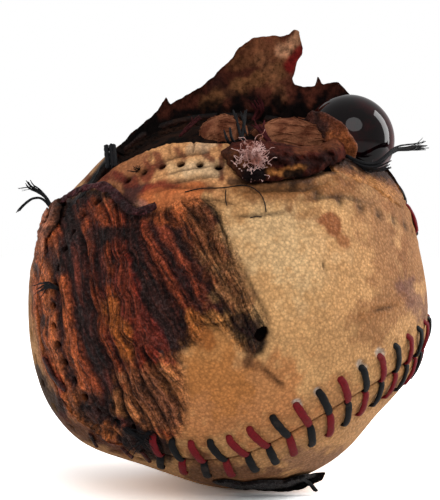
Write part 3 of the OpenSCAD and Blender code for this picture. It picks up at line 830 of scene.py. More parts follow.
# Stains, tones, painted light and painted shade, laid on in this order: colour, strength, half
# width, soft edge, line
COVER_STAINS_AND_PAINTED_LIGHT = (
    ((0.88, 0.68, 0.45), 0.5, 60, 40, ((300, 240), (330, 300), (290, 350))),
    # Painted light: a pale cream pool on the front, where the front softbox falls brightest
    ((0.94, 0.78, 0.57), 0.7, 12, 40, ((272, 232), (300, 262))),
    ((0.80, 0.58, 0.37), 0.4, 24, 30, ((350, 250), (380, 300), (340, 340))),
    ((0.62, 0.41, 0.25), 0.75, 8, 20, ((372, 206), (386, 246), (388, 300), (372, 326))),
    ((0.78, 0.50, 0.29), 0.75, 22, 28, ((150, 405), (220, 396), (272, 396))),
    ((0.76, 0.50, 0.31), 0.5, 12, 22, ((210, 404), (270, 430), (330, 404))),
    ((0.74, 0.47, 0.23), 0.7, 10, 20, ((214, 330), (206, 372), (230, 392))),
    ((0.58, 0.36, 0.19), 0.85, 6, 14, ((226, 188), (290, 192), (350, 186))),
    ((0.40, 0.22, 0.14), 0.9, 9, 12, ((350, 166), (392, 174))),
    ((0.56, 0.34, 0.18), 0.6, 10, 14, ((392, 180), (412, 230), (418, 270))),
    ((0.44, 0.28, 0.26), 0.7, 5, 10, ((408, 288), (424, 312))),
    ((0.56, 0.28, 0.12), 0.85, 6, 6, ((329, 220), (334, 226))),
    ((0.60, 0.32, 0.15), 0.7, 4, 5, ((343, 240), (344, 241))),
    ((0.60, 0.38, 0.20), 0.5, 3, 5, ((300, 216), (318, 210))),
    ((0.62, 0.40, 0.22), 0.5, 3, 6, ((366, 316), (400, 300))),
    ((0.52, 0.32, 0.18), 0.6, 2, 4, ((258, 366), (281, 386))),
    ((0.90, 0.64, 0.42), 0.9, 22, 14, ((150, 172), (180, 164), (214, 166))),
    ((0.66, 0.40, 0.25), 0.85, 14, 12, ((108, 184), (128, 176), (138, 170))),
    ((0.95, 0.76, 0.55), 0.8, 5, 8, ((176, 172), (216, 168))),
    ((0.50, 0.26, 0.14), 0.7, 4, 6, ((150, 192), (176, 186), (206, 190))),
    ((0.44, 0.18, 0.12), 0.75, 3, 5, ((90, 178), (104, 184))),
    ((0.44, 0.18, 0.12), 0.75, 3, 5, ((112, 176), (124, 182))),
    ((0.56, 0.25, 0.12), 0.75, 7, 9, ((98, 212), (116, 224))),
    ((0.20, 0.09, 0.08), 0.75, 7, 8, ((100, 238), (104, 262), (104, 278))),
    ((0.09, 0.06, 0.06), 0.9, 5, 6, ((104, 236), (122, 234))),
    ((0.42, 0.18, 0.10), 0.65, 5, 6, ((118, 246), (124, 280), (132, 310))),
    ((0.68, 0.34, 0.17), 0.75, 8, 9, ((152, 212), (172, 216))),
    ((0.48, 0.22, 0.12), 0.6, 3, 6, ((146, 234), (160, 266), (178, 300))),
    ((0.38, 0.15, 0.10), 0.55, 5, 8, ((140, 312), (150, 334), (166, 348))),
    ((0.10, 0.055, 0.04), 0.7, 8, 6, ((150, 290), (166, 316), (180, 338))),
    ((0.10, 0.055, 0.05), 0.6, 4, 5, ((131, 226), (134, 250), (146, 284))),
    ((0.66, 0.38, 0.17), 0.8, 5, 6, ((192, 318), (200, 332), (206, 344))),
    ((0.10, 0.045, 0.045), 0.75, 5, 6, ((80, 312), (88, 336), (100, 362))),
    ((0.66, 0.36, 0.15), 0.8, 5, 6, ((110, 304), (120, 330), (128, 350))),
    ((0.40, 0.26, 0.20), 0.6, 8, 12, ((142, 386), (168, 410))),
    ((0.46, 0.24, 0.15), 0.5, 14, 14, ((140, 384), (160, 416))),
    ((0.24, 0.11, 0.13), 0.9, 6, 6, ((130, 194), (143, 192))),
    ((0.56, 0.20, 0.13), 0.8, 3, 5, ((148, 192), (160, 187), (176, 188))),
    ((0.84, 0.47, 0.26), 0.85, 7, 7, ((152, 202), (170, 199), (196, 194))),
    ((0.44, 0.16, 0.11), 0.85, 3, 4, ((120, 176), (128, 184), (134, 182))),
    ((0.46, 0.18, 0.12), 0.8, 3, 4, ((148, 164), (152, 172), (146, 178))),
    ((0.46, 0.18, 0.12), 0.8, 2, 4, ((158, 158), (160, 168))),
    ((0.40, 0.15, 0.11), 0.8, 2, 3, ((204, 148), (207, 156), (212, 160))),
    ((0.44, 0.18, 0.12), 0.75, 2, 3, ((178, 152), (184, 158))),
    ((0.88, 0.72, 0.56), 0.7, 2, 4, ((190, 150), (200, 148), (214, 144))),
    ((0.96, 0.80, 0.62), 0.7, 3, 4, ((186, 172), (204, 168), (216, 172))),
    ((0.66, 0.46, 0.42), 0.6, 3, 4, ((142, 206), (148, 212))),
    ((0.66, 0.38, 0.18), 0.7, 9, 10, ((84, 404), (104, 430), (128, 444))),
    ((0.15, 0.06, 0.07), 0.9, 8, 7, ((86, 400), (100, 412))),
    ((0.62, 0.33, 0.15), 0.8, 4, 6, ((70, 412), (78, 398))),
    ((0.12, 0.06, 0.06), 0.9, 6, 7, ((36, 372), (46, 392), (60, 408))),
    ((0.48, 0.16, 0.12), 0.8, 2, 4, ((48, 358), (56, 374), (64, 388))),
    ((0.30, 0.10, 0.08), 0.8, 4, 6, ((60, 416), (84, 432), (120, 448))),
    ((0.11, 0.05, 0.045), 0.95, 10, 8, ((134, 434), (150, 446), (160, 450))),
    ((0.12, 0.06, 0.06), 0.85, 3, 5, ((112, 196), (132, 212), (146, 216))),
    ((0.14, 0.06, 0.06), 0.8, 4, 5, ((70, 216), (80, 202), (96, 194))),
    ((0.11, 0.05, 0.05), 0.85, 4, 5, ((74, 224), (67, 250), (63, 270))),
    ((0.14, 0.07, 0.06), 0.6, 3, 5, ((60, 240), (56, 262))),
    ((0.56, 0.33, 0.19), 0.6, 8, 10, ((200, 222), (222, 262), (242, 300))),
    ((0.13, 0.07, 0.06), 0.9, 6, 7, ((238, 322), (262, 334), (258, 346))),
    ((0.34, 0.20, 0.12), 0.75, 2, 5, ((252, 350), (247, 362))),
    ((0.50, 0.34, 0.28), 0.6, 8, 14, ((300, 462), (340, 468))),
    # Painted shade: darker brown low on the ball's underside
    ((0.36, 0.20, 0.14), 0.8, 8, 14, ((200, 470), (236, 476), (272, 482))),
    # Painted shade: a dark line on the leather under the rolled lip
    ((0.20, 0.12, 0.10), 0.8, 3, 5, ((232, 183), (290, 182), (344, 166))),
    ((0.36, 0.06, 0.06), 0.8, 1, 3, ((220, 136), (221, 158), (222, 180))),
    ((0.90, 0.85, 0.80), 0.8, 2, 3, ((297, 402), (299, 405))),
    ((0.90, 0.85, 0.80), 0.8, 2, 3, ((317, 392), (320, 395))),
    ((0.86, 0.80, 0.74), 0.7, 2, 3, ((360, 364), (362, 367))),
    ((0.86, 0.80, 0.74), 0.7, 2, 3, ((379, 352), (381, 355))),
)

# Outlines in pixels, and the stains on each, of the torn flap, the rolled lip, the leather drawn up
# round the dome, the dome's lid and the scrap below; the flap's and the lip's lists also hold
# painted shade
FLAP_OUTLINE = (
    (115, 150), (135, 130), (150, 118), (158, 111), (166, 97), (170, 104), (186, 95), (200, 87),
    (215, 75), (228, 62), (240, 47), (252, 38), (262, 36), (280, 36), (289, 34), (294, 29),
    (299, 31), (300, 38), (303, 48), (302, 55), (297, 62), (295, 70), (292, 79), (295, 84),
    (303, 87), (315, 86), (318, 77), (323, 84), (338, 82), (344, 88), (350, 95), (352, 125),
    (300, 135), (220, 135), (160, 140), (125, 156),
)
LID_STAINS = (
    ((0.60, 0.33, 0.17), 0.85, 7, 9, ((338, 132), (350, 150), (356, 158))),
    ((0.44, 0.22, 0.13), 0.7, 5, 8, ((326, 112), (338, 124))),
)
FLAP_STAINS_AND_FOOT_SHADE = (
    ((0.28, 0.13, 0.09), 0.8, 16, 20, ((150, 125), (200, 100), (250, 60))),
    ((0.20, 0.09, 0.07), 0.75, 8, 10, ((214, 96), (236, 88), (250, 100))),
    ((0.58, 0.32, 0.23), 0.75, 5, 8, ((246, 48), (266, 44), (284, 46))),
    ((0.48, 0.30, 0.19), 0.7, 6, 12, ((240, 60), (262, 50), (284, 50))),
    ((0.52, 0.34, 0.21), 0.8, 4, 8, ((206, 104), (236, 86), (276, 74))),
    ((0.56, 0.36, 0.24), 0.7, 3, 7, ((262, 60), (276, 84), (282, 98))),
    ((0.78, 0.56, 0.42), 0.9, 3, 6, ((284, 50), (297, 38))),
    ((0.50, 0.10, 0.10), 0.9, 3, 5, ((300, 52), (291, 66))),
    ((0.30, 0.14, 0.10), 0.8, 8, 9, ((300, 92), (344, 92))),
    ((0.20, 0.10, 0.08), 0.7, 4, 5, ((216, 78), (232, 96), (244, 110))),
    # Painted shade: near black along the flap's foot, over the mouth
    ((0.03, 0.02, 0.02), 0.97, 14, 22,
     ((120, 158), (170, 132), (230, 124), (300, 122), (350, 118))),
)
LIP_OUTLINE = (
    (222, 152), (232, 143), (246, 139), (262, 141), (280, 143), (300, 145), (318, 145), (330, 139),
    (338, 133), (346, 146), (344, 158), (332, 166), (318, 172), (305, 177), (285, 179), (262, 183),
    (248, 183), (236, 173), (226, 164),
)
LIP_STAINS_AND_GAP_SHADE = (
    ((0.52, 0.30, 0.19), 0.7, 3, 6, ((300, 150), (336, 142))),
    ((0.46, 0.28, 0.17), 0.7, 6, 6, ((228, 156), (240, 166))),
    ((0.16, 0.08, 0.07), 0.8, 4, 6, ((270, 160), (300, 164), (330, 158))),
    ((0.80, 0.52, 0.28), 0.9, 3, 5, ((268, 172), (284, 173), (300, 168))),
    # Painted shade: near black in the gap under the roll
    ((0.06, 0.04, 0.04), 0.95, 3, 4, ((286, 174), (300, 172))),
    ((0.05, 0.03, 0.03), 0.95, 6, 6, ((250, 176), (262, 174))),
    ((0.24, 0.12, 0.09), 0.7, 3, 5, ((226, 152), (236, 170))),
)
COLLAR_OUTLINE = (
    (328, 166), (344, 158), (356, 158), (372, 164), (388, 168), (395, 178), (402, 192), (408, 208),
    (400, 210), (388, 198), (372, 190), (352, 182), (334, 176),
)
COLLAR_STAINS = (
    ((0.16, 0.09, 0.07), 0.9, 5, 9, ((340, 158), (362, 164), (392, 172))),
    ((0.74, 0.50, 0.28), 0.8, 5, 8, ((340, 178), (372, 188), (404, 206))),
)
SCRAP_OUTLINE = (
    (213, 482), (226, 479), (242, 482), (262, 480), (284, 480), (304, 474), (326, 472), (322, 480),
    (306, 488), (288, 492), (262, 491), (238, 489), (222, 486),
)


# Painting

def stain(tint, share, colour):
    tint += share[:, None] * (colour - tint)


def painted(pixels, start, stains_and_shade, points, weight=1.0):
    """Lays stains, painted light and painted shade over a starting tint, by the pixels where they
    show.
    """
    tint = start.copy()
    uneven = rough(points, 2.0, 4, 5)
    for colour, strength, half, soft, line in stains_and_shade:
        distance, _ = path_distance(pixels, line)
        share = strength * ease(half + soft, half, distance + 1.3 * soft * uneven) * weight
        stain(tint, share, linear(colour))
    return tint


def mottled(points, colour, amount, cell, seed):
    """One colour that is lighter and darker by a share of itself, over about one cell."""
    return linear(colour) * (1 + amount * rough(points, cell, 3, seed))[:, None]


def not_black(tint):
    return np.clip(tint, DARKEST, 1)


# Cover

COVER_CELLS = 112
COVER_DENSE = 0.36
COVER_GAP = 0.05
FLOW_BATCH = 20000
# Heights of the leather's relief, in millimetres
DENTS = 0.22
SEAM_RIDGE = 0.34
SLIT_SINK = 0.3
TORN_CURLS = {1: 0.75, -1: 0.3}
HOLE_DIMPLE = 0.28
HOLE_RIM = 0.12
VALLEY_DEPTH = 0.75
# Where fibres are torn up, where a clump of them stands, and where the gash is, in pixels
TORN_UP_PATH = ((165, 240), (190, 300), (250, 334))
CLUMP_AT = (248.0, 332.0)
GASH_AT = (261.5, 334.5)
GASH_HALF = (6.5, 9.5)
# Right of and above this pixel the torn stitches' holes have closed
SHUT_FROM = (270.0, 230.0)
HOLE_SHUT = 9.0
TEAR_EDGE_SHADE = (0.05, 0.03, 0.03)
SCUFF = (0.40, 0.25, 0.15)
SCUFF_STRETCH = (1.0, 1.0, 2.2)


def flow_field(points):
    """A smooth number that grows by one from each long crease to the next."""
    spots = [on_ball(line) for line in FLOW_LINES]
    marks = np.repeat(np.arange(len(spots), dtype=float), [len(line) for line in spots])
    spots = np.concatenate(spots)
    n = len(spots)
    system = np.zeros((n + 4, n + 4))
    system[:n, :n] = lengths(spots[:, None, :] - spots[None, :, :])
    system[:n, n] = system[n, :n] = 1
    system[:n, n + 1:] = spots
    system[n + 1:, :n] = spots.T
    shares = np.linalg.lstsq(system, np.concatenate((marks, np.zeros(4))), rcond=None)[0]
    result = np.empty(len(points))
    for start in range(0, len(points), FLOW_BATCH):
        part = points[start:start + FLOW_BATCH]
        reach = lengths(part[:, None, :] - spots[None, :, :])
        result[start:start + FLOW_BATCH] = (reach @ shares[:n] + shares[n]
                                            + part @ shares[n + 1:])
    return result


def wrinkles(points, wrinkled):
    """The shrunken leather's valleys, ripples and fibres, its course and its burnt tones."""
    valley, ripple, fibre, course = np.zeros((4, len(points)))
    burnt = np.zeros((len(points), 3))
    some = wrinkled > 0.001
    if some.any():
        spots = points[some]
        flow = flow_field(spots) + 0.16 * rough(spots, 3.0, 3, 8)
        valley[some] = bell(flow - np.round(flow), 0.17) * (0.6 + 0.4 * noise(spots, 9.0, 11))
        ridge = 2.4 * flow + 0.5 * noise(spots, 5.0, 12)
        ripple[some] = 1 - 2 * bell(ridge - np.round(ridge), 0.17)
        fibre[some] = np.cos(2 * math.pi * (1.9 * flow + 0.5 * rough(spots, 2.4, 2, 13)))
        course[some] = flow
        marks = [mark for mark, _ in BURNT_TONES]
        tones = linear([tone for _, tone in BURNT_TONES]) * BURNT_LIGHT
        blur = flow + 0.25 * rough(spots, 1.6, 3, 14)
        burnt[some] = np.stack([np.interp(blur, marks, tones[:, k]) for k in range(3)], 1)
    return valley, ripple, fibre, course, burnt


def crease_relief(pixels, front):
    """How far the drawn creases raise and cut the leather, and how deep in one each point is."""
    height, crease = np.zeros((2, len(pixels)))
    for line, depth, half in CREASES:
        distance, along = path_distance(pixels, line)
        fade = np.clip(4 * along, 0.25, 1) * np.clip(4 * (1 - along), 0.25, 1)
        cut = bell(distance, half) * fade * front
        height += depth * (0.45 * bell(distance - 2.6 * half, 1.6 * half) * front - cut)
        crease = np.maximum(crease, cut)
    return height, crease


def seam_relief(seam, torn, hole_gap, side, uneven):
    """The ridge beside the stitches, the leather sunk at the slit or curled where it is torn, and
    the dimples of the holes with their rims."""
    height = (1 - torn) * (SEAM_RIDGE * bell(seam - 1.8, 1.1) - SLIT_SINK * bell(seam, 0.5))
    height += torn * TORN_CURLS[side] * np.exp(-seam / 1.6) * (0.7 + 0.5 * uneven)
    return height - HOLE_DIMPLE * bell(hole_gap, 0.8) + HOLE_RIM * bell(hole_gap - 1.4, 0.5)


def leather(way, side, colours):
    """Height, tint, char and course of the leather at the given directions, for one panel."""
    points = way * BALL_R
    pixels = pixel_of(warp(points))
    front = ease(0.02, 0.3, -way[:, 1])
    seam, torn = np.abs(seam_distance(points)), torn_share(way)
    hole_gap = hole_distance(way, HOLES)
    uneven = rough(points, 4.0, 3, 1)
    wrinkled = ease(-5, 9, inside_distance(pixels, BURNT_OUTLINE) + 5 * uneven) * front
    valley, ripple, fibre, course, burnt = wrinkles(points, wrinkled)
    torn_up = ease(34, 8, path_distance(pixels, TORN_UP_PATH)[0]) * wrinkled
    clump = ease(19, 7, lengths(pixels - np.array(CLUMP_AT)) + 6 * uneven) * front
    lumps = rough(points, 1.5, 3, 16)
    crease_height, crease = crease_relief(pixels, front)

    height = DENTS * rough(points, 14.0, 2, 2) + 0.07 * uneven
    height += seam_relief(seam, torn, hole_gap, side, uneven)
    height += wrinkled * (0.2 + 0.13 * ripple + (0.05 + 0.09 * torn_up) * fibre
                          - VALLEY_DEPTH * valley + 0.22 * uneven)
    height += clump * (0.5 + 2.0 * lumps) + crease_height

    brown = linear(colours.stain)
    tint = mottled(points, colours.leather, 0.10, 9.0, 21)
    stain(tint, ease(0.0, 0.5, rough(points, 15.0, 4, 23)) * (0.7 - 0.35 * front), brown)
    stain(tint, np.exp(-seam / 2.4) * (0.35 + 0.3 * torn), brown * 0.8)
    stain(tint, wrinkled, burnt * (1 + 0.35 * uneven)[:, None])
    tint = painted(pixels, tint, COVER_STAINS_AND_PAINTED_LIGHT, points, front)
    if side < 0:
        column = np.abs(lengths(points[:, :2] - TEAR_AT) - TEAR_R)
        # Painted shade: the rear panel darkens to near black along the tear's wall, in the mouth
        stain(tint, ease(5, 1, column + uneven) * ease(14, 20, points[:, 2]), linear(TEAR_EDGE_SHADE))
    # Painted shade: darker in the wrinkles' valleys, the drawn creases, the stitch holes and the
    # clump's hollows; the ripples and fibres are lighter on their crests and darker in their
    # troughs
    for shade in (1 - 0.93 * np.clip(wrinkled * valley, 0, 1),
                  1 - 0.65 * crease,
                  1 + wrinkled * (0.36 * ripple + (0.15 + 0.3 * torn_up) * fibre),
                  1 - 0.75 * bell(hole_gap, 1.0) * (0.4 + 0.6 * torn),
                  1 - 0.85 * clump * ease(0.25, -0.3, lumps)):
        tint *= shade[:, None]
    scuffs = ease(0.34, 0.62, rough(points * SCUFF_STRETCH, 7.0, 4, 25)) * (1 - 0.8 * front)
    stain(tint, 0.55 * scuffs, linear(SCUFF))
    tint = np.maximum(tint, wrinkled[:, None] * np.array(CHAR_FLOOR))
    return height, not_black(tint), np.clip(wrinkled, 0, 1), course


def panel_field(way, side):
    """Positive where a panel has leather: beside the slit, out of the holes and the tear."""
    points = way * BALL_R
    pixels = pixel_of(warp(points))
    ragged = rough(points, 1.6, 3, 31)
    field = side * seam_distance(points) - SLIT_HALF - torn_share(way) * (0.25 + 0.3 * ragged)
    gap = hole_distance(way, HOLES[TORN > 0]) - HOLE_R * (1.15 + 0.4 * ragged)
    shut = (pixels[:, 0] > SHUT_FROM[0]) & (pixels[:, 1] < SHUT_FROM[1]) & (way[:, 1] < 0)
    field = np.minimum(field, np.where(shut, HOLE_SHUT, gap))
    field = np.minimum(field, lengths(points - DOME_AT) - DOME_R - 2 * DOME_GAP - 0.3 * ragged)
    if side > 0:
        off = (pixels - np.array(GASH_AT)) / np.array(GASH_HALF)
        gash = (lengths(off) - 1 + ragged) * 1.2
        return np.where(way[:, 1] < 0, np.minimum(field, gash), field)
    column = lengths(points[:, :2] - TEAR_AT) - TEAR_R + 0.8 * rough(points, 5.0, 3, 33)
    return np.minimum(field, np.maximum(column, TEAR_FLOOR - points[:, 2]))


def make_cover(pebble, colours):
    material = leather_finish("worn_leather", pebble)
    way, faces = round_mesh(COVER_CELLS, COVER_DENSE)
    for name, node, side in (("front_cover", "front_panel", 1), ("rear_cover", "rear_panel", -1)):
        cut, cut_faces = clip(way, faces, panel_field(way, side))
        cut = unit(cut)
        height, tint, char, course = leather(cut, side, colours)
        outer = warp(cut * (BALL_R + height)[:, None])
        inner = warp(cut * (WOUND_R + COVER_GAP))
        # The inside is darkened to a quarter of the flesh colour: painted shade inside the ball,
        # where it shows through the tear
        flesh = np.broadcast_to(0.25 * linear(colours.flesh), inner.shape)
        masks = {"char": np.concatenate((char, np.zeros(len(inner)))), "flow": np.tile(course, 2)}
        build(name, *shell(outer, inner, cut_faces), material, "tan_leather", (node,),
              np.concatenate((tint, flesh)), masks)


# Stitches

# How far each V starts behind the slit place of its pair, and its bars' bow and dip at the ends
APEX_BACK = 1.1
BAR_POINTS = 15
BAR_BOW = 0.5
HOLE_DIP = 1.1
SLIT_DIP = 0.5


def make_stitches(thread, colours):
    bars = {"red": [], "black": []}
    share = np.linspace(0, 1, BAR_POINTS)
    bow = np.sin(share * math.pi)
    lift = 0.2 + BAR_BOW * bow ** 0.5
    lift = lift - HOLE_DIP * ease(0.86, 1.0, share) - SLIT_DIP * ease(0.08, 0.0, share)
    radius = thread / 2 / MM * 0.5 * (0.86 + 0.14 * bow)
    for stitch in STITCHES:
        if stitch["torn"]:
            continue
        start = unit(stitch["apex"] - stitch["onward"] * APEX_BACK / BALL_R)
        for hole, key in zip(stitch["holes"], stitch["threads"]):
            way = (1 - share)[:, None] * start + share[:, None] * hole
            path = warp(unit(way) * (BALL_R + lift)[:, None])
            bars[key].append(tube(path, radius, 16, 1.0, FLAT_THREAD, 0.12))
    looks = {"red": (colours.red_thread, (0.42, 0.20, 0.17)),
             "black": (colours.black_thread, (0.26, 0.22, 0.20))}
    for key, parts in bars.items():
        points, faces = merge(parts)
        build(key + "_thread_stitches", above_floor(points), faces,
              thread_finish(key + "_thread", *looks[key]), key + "_thread", (key + "_stitches",))


# Core

# The wound core: how far it has sunk in the mouth, how deep it may lie, and the yarn round it
CORE_SINK = 2.1
DEEPEST_R = 33.5
YARN_TURNS = 150
YARN_R = 0.34
YARN_POINTS = 46
YARN_HALF_TURN = 0.95
MOUTH_WAY = (0.05, -0.62, 0.78)
# The humps of wool in the mouth: middle and half sizes, in millimetres
WOOL_HUMPS = (((-0.6, -11.5, 28.9), (4.9, 6.0, 5.0)), ((11.4, -11.5, 27.6), (8.2, 6.0, 5.8)))
WOOL_FIBRES = 60


def core_sink(points):
    """How far the wound core has sunk behind the torn edge."""
    inside = TEAR_R - lengths(points[:, :2] - TEAR_AT)
    return CORE_SINK * ease(0, 6, inside) * ease(22, 31, points[:, 2])


def yarn_turn(rng):
    """One turn of yarn over the mouth of the ball."""
    up = unit(np.array(MOUTH_WAY))
    lean = rng.uniform(0, math.pi)
    first = unit(np.cross(up, (math.cos(lean), math.sin(lean), 0.3)))
    second = np.cross(first, up)
    shift = rng.uniform(-0.8, 0.8)
    angle = np.linspace(-YARN_HALF_TURN, YARN_HALF_TURN, YARN_POINTS) + rng.uniform(-0.1, 0.1)
    line = unit(np.cos(angle)[:, None] * up + np.sin(angle)[:, None] * first + shift * second)
    line = line * WOUND_R
    radius = YARN_R * rng.uniform(0.8, 1.15)
    line = line - unit(line) * (core_sink(line) + 0.05 + rng.uniform(0, 0.25))[:, None]
    return tube(warp(line), radius, 6, 5.0)


def make_core():
    rng = np.random.default_rng(11)
    way, faces = round_mesh(48, 0.3)
    ground = warp(way * WOUND_R - way * (0.25 + core_sink(way * WOUND_R))[:, None])
    ground *= (np.maximum(lengths(ground), DEEPEST_R) / lengths(ground))[:, None]
    parts = [(ground, faces)] + [yarn_turn(rng) for _ in range(YARN_TURNS)]
    build("wound_yarn_core", *merge(parts),
          yarn_finish("charred_yarn", (0.05, 0.035, 0.03), (0.17, 0.10, 0.07)), "dark_yarn",
          ("finishing_winding", "third_winding"))

    way, faces = round_mesh(40)
    tufts = []
    lumps = 1 + 0.10 * rough(way * 3, 1.6, 3, 17)
    for at, half in np.array(WOOL_HUMPS):
        tufts.append((way * lumps[:, None] * half + at, faces))
        for _ in range(WOOL_FIBRES):
            start = unit(rng.normal(0, 1, 3) + (0, -1.2, 0.8))
            along = unit(rng.normal(0, 1, 3) * (1, 0.4, 0.4))
            line = unit(start + np.linspace(-0.35, 0.35, 5)[:, None] * along)
            line = line * half * (1.02 + 0.04 * rng.uniform(0, 1, (5, 1))) + at
            tufts.append(tube(curve(line, 14), rng.uniform(0.05, 0.11), 5, 3.0))
    build("pulled_wool_tufts", *merge(tufts),
          yarn_finish("scorched_wool", (0.40, 0.22, 0.15), (0.60, 0.39, 0.28), 0.3),
          "white_wool", ("pulled_wool",))


# Flap and lip

# Outline step in pixels of the patches, and the two slants that the flap's folds follow
FLAP_STEP = 1.5
FLAP_SLANT = np.array(((0.80, 0.0, 0.0), (0.60, 0.6, 0.0), (0.0, 0.0, 1.0)))
FLAP_CURL = 0.9
LIP_RISE = 3.0
LIP_ROLL_PX = 17.0
LIP_COLOUR = (0.32, 0.13, 0.09)
COLLAR_COLOUR = (0.52, 0.32, 0.18)
# The knot of pale fibres: pixel and height of its middle, and its spread in millimetres
KNOT_AT = (253.0, 159.0, 3.6)
KNOT_SPREAD = (0.9, 0.45, 1.15)
KNOT_FIBRES = 620
KNOT_DRIFT = 0.08
KNOT_STEP = 0.26


def flap_wall(pixels, out):
    """Where the sight lines meet the leaning wall of the tear, moved out by some millimetres."""
    way = rays(pixels)
    y = np.zeros(len(way))
    for _ in range(12):
        at = CAMERA_AT + way * (y - CAMERA_AT[1])[:, None]
        reach = TEAR_R + out + (at[:, 2] - FLAP_FOOT) * FLAP_LEAN
        room = np.maximum(reach ** 2 - (at[:, 0] - TEAR_AT[0]) ** 2, 4.0)
        y = 0.5 * y + 0.5 * (TEAR_AT[1] + np.sqrt(room))
    return CAMERA_AT + way * (y - CAMERA_AT[1])[:, None]


def make_flap(colours):
    def wave(pixels, depth):
        slant = flat(pixels) @ FLAP_SLANT * (1.0, 0.35, 1.0)
        folds = 1.1 * noise(flat(pixels), 34.0, 41) + 0.9 * rough(slant, 9.0, 4, 42)
        return folds - FLAP_CURL * np.exp(-depth / 5.0)

    def front(pixels, depth):
        return flap_wall(pixels, wave(pixels, depth))

    def back(pixels, depth):
        return flap_wall(pixels, wave(pixels, depth) + (0.45 + 0.85 * ease(0, 6, depth)))

    points, faces, pixels = patch(FLAP_OUTLINE, FLAP_STEP, front, back, 1.3, 43)
    start = mottled(flat(pixels), colours.flesh, 0.25, 12.0, 44)
    tint = painted(pixels, start, FLAP_STAINS_AND_FOOT_SHADE, points)
    rear = slice(len(points) // 2, None)
    tint[rear] = 0.75 * mottled(points[rear], colours.leather, 0.3, 5.0, 45)
    build("torn_flap", points, faces, suede_finish("flesh_side_suede"), "flesh_side",
          ("lifted_flap",), tint)


def make_lip(pebble):
    def lip_rise(pixels, depth):
        share = np.clip(depth / LIP_ROLL_PX, 0, 1)
        rise = 0.25 + LIP_RISE * np.sqrt(np.maximum(1 - (1 - share) ** 2, 0))
        folds = rough(flat(pixels) * (0.5, 1.0, 1.0), 11.0, 3, 51) * 1.3 * share
        return rise + folds + rough(flat(pixels), 5.0, 4, 55) * (0.3 + share)

    points, faces, pixels = laid_patch(LIP_OUTLINE, 1.0, lip_rise, -0.5, 2.6, 53)
    tint = painted(pixels, mottled(points, LIP_COLOUR, 0.7, 2.5, 54), LIP_STAINS_AND_GAP_SHADE, points)
    build("torn_lip", points, faces, suede_finish("lip_suede"), "flesh_side", ("rolled_lip",),
          not_black(tint))

    rng = np.random.default_rng(61)
    middle = lifted((KNOT_AT,))[0]
    fibres = []
    for _ in range(KNOT_FIBRES):
        at = middle + rng.normal(0, 1, 3) * KNOT_SPREAD
        drift = rng.normal(0, 1, 3) * KNOT_DRIFT
        line = at + np.cumsum(rng.normal(0, 1, (5, 3)) * KNOT_STEP + drift, 0)
        fibres.append(tube(curve(line, 12), rng.uniform(0.03, 0.08), 4, 3.0))
    build("fibre_knot", *merge(fibres),
          yarn_finish("pale_fibre", (0.95, 0.80, 0.77), (0.66, 0.42, 0.36), 0.3), "flesh_side")

    def collar_rise(pixels, depth):
        folds = rough(flat(pixels) * (1.0, 0.5, 1.0), 9.0, 3, 65)
        return 0.15 + 0.5 * ease(0, 4, depth) + 0.5 * folds

    points, faces, pixels = laid_patch(COLLAR_OUTLINE, 0.9, collar_rise, -0.9, 1.2, 66)
    tint = painted(pixels, mottled(points, COLLAR_COLOUR, 0.3, 3.0, 67), COLLAR_STAINS, points)
    build("dome_collar", points, faces, leather_finish("scorched_collar", pebble), "tan_leather",
          tint=not_black(tint), masks={"char": 0.4})


# Scraps

CRUMPLE_WAY = unit((-32.2, -11.2, 13.2))
CRUMPLE_R = 6.2
CRUMPLE_SINK = 0.2
BAND_PATH = ((58, 204, 1.2), (75, 191, 1.5), (98, 184, 1.6), (112, 190, 1.3), (122, 203, 1.2),
             (135, 214, 1.4), (156, 205, 0.9))
# A loose strip and three tabs low at the left: places as pixel and height, and width
STRIPS = (
    (((44, 358, 0.3), (50, 372, 0.6), (57, 382, 0.6), (66, 390, 0.2)), 0.7),
    (((90, 434, 0.2), (94, 442, 0.5), (97, 447, 0.9)), 0.5),
    (((122, 448, 0.2), (128, 454, 0.6), (133, 458, 0.9)), 0.6),
    (((142, 452, 0.2), (147, 458, 0.5), (150, 462, 0.8)), 0.5),
)
# The stubs of waxed thread: piece, node, places and width
STUBS = (
    ("upper_square_stub", "upper_stub", ((112, 168, 0.2), (111, 158, 1.4), (110, 146, 2.6)), 1.15),
    ("lower_thread_stub", "lower_stub", ((300, 478, 0.8), (309, 482, 1.0), (316, 491, 1.2)), 0.5),
)
STUB_STRANDS = 15


def make_crumple():
    way, faces = round_mesh(44)
    fold = np.abs(rough(way * 4.0, 3.0, 3, 71))
    radius = CRUMPLE_R * (0.86 + 0.42 * rough(way * 4.0, 4.0, 2, 72) - 0.4 * bell(fold, 0.09)
                          + 0.1 * rough(way * 4.0, 0.8, 2, 73))
    points = way * radius[:, None]
    points = (points - 0.5 * (points @ CRUMPLE_WAY)[:, None] * CRUMPLE_WAY
              + CRUMPLE_WAY * (BALL_R - CRUMPLE_SINK))
    tint = mottled(points, (0.76, 0.46, 0.33), 1.1, 2.0, 74)
    # Painted shade: darker in the folds, and darkening towards the right-hand side to a tenth
    tint *= (1 - 0.75 * bell(fold, 0.12))[:, None]
    tint *= ease(60, 46, pixel_of(points)[:, 0])[:, None] * 0.9 + 0.1
    build("crumpled_leather", points, faces, leather_finish("crumpled_hide", 0.6),
          "charred_leather", ("crumpled_corner",), not_black(tint), {"char": 0.8})


def make_band():
    path = curve(lifted(BAND_PATH), 90)
    radius = 0.36 * (1.1 + 0.25 * noise(path, 3.0, 81))
    points, faces = tube(path, radius, 22, 3.4, FLAT_THREAD, 0.4)
    points = points + unit(points) * (0.45 * rough(points, 1.1, 3, 82))[:, None]
    tint = not_black(mottled(points, (0.27, 0.11, 0.12), 1.0, 2.4, 83))
    build("twisted_band", points, faces, leather_finish("charred_band", 0.5), "charred_leather",
          ("twisted_strip",), tint, {"char": 1.0})


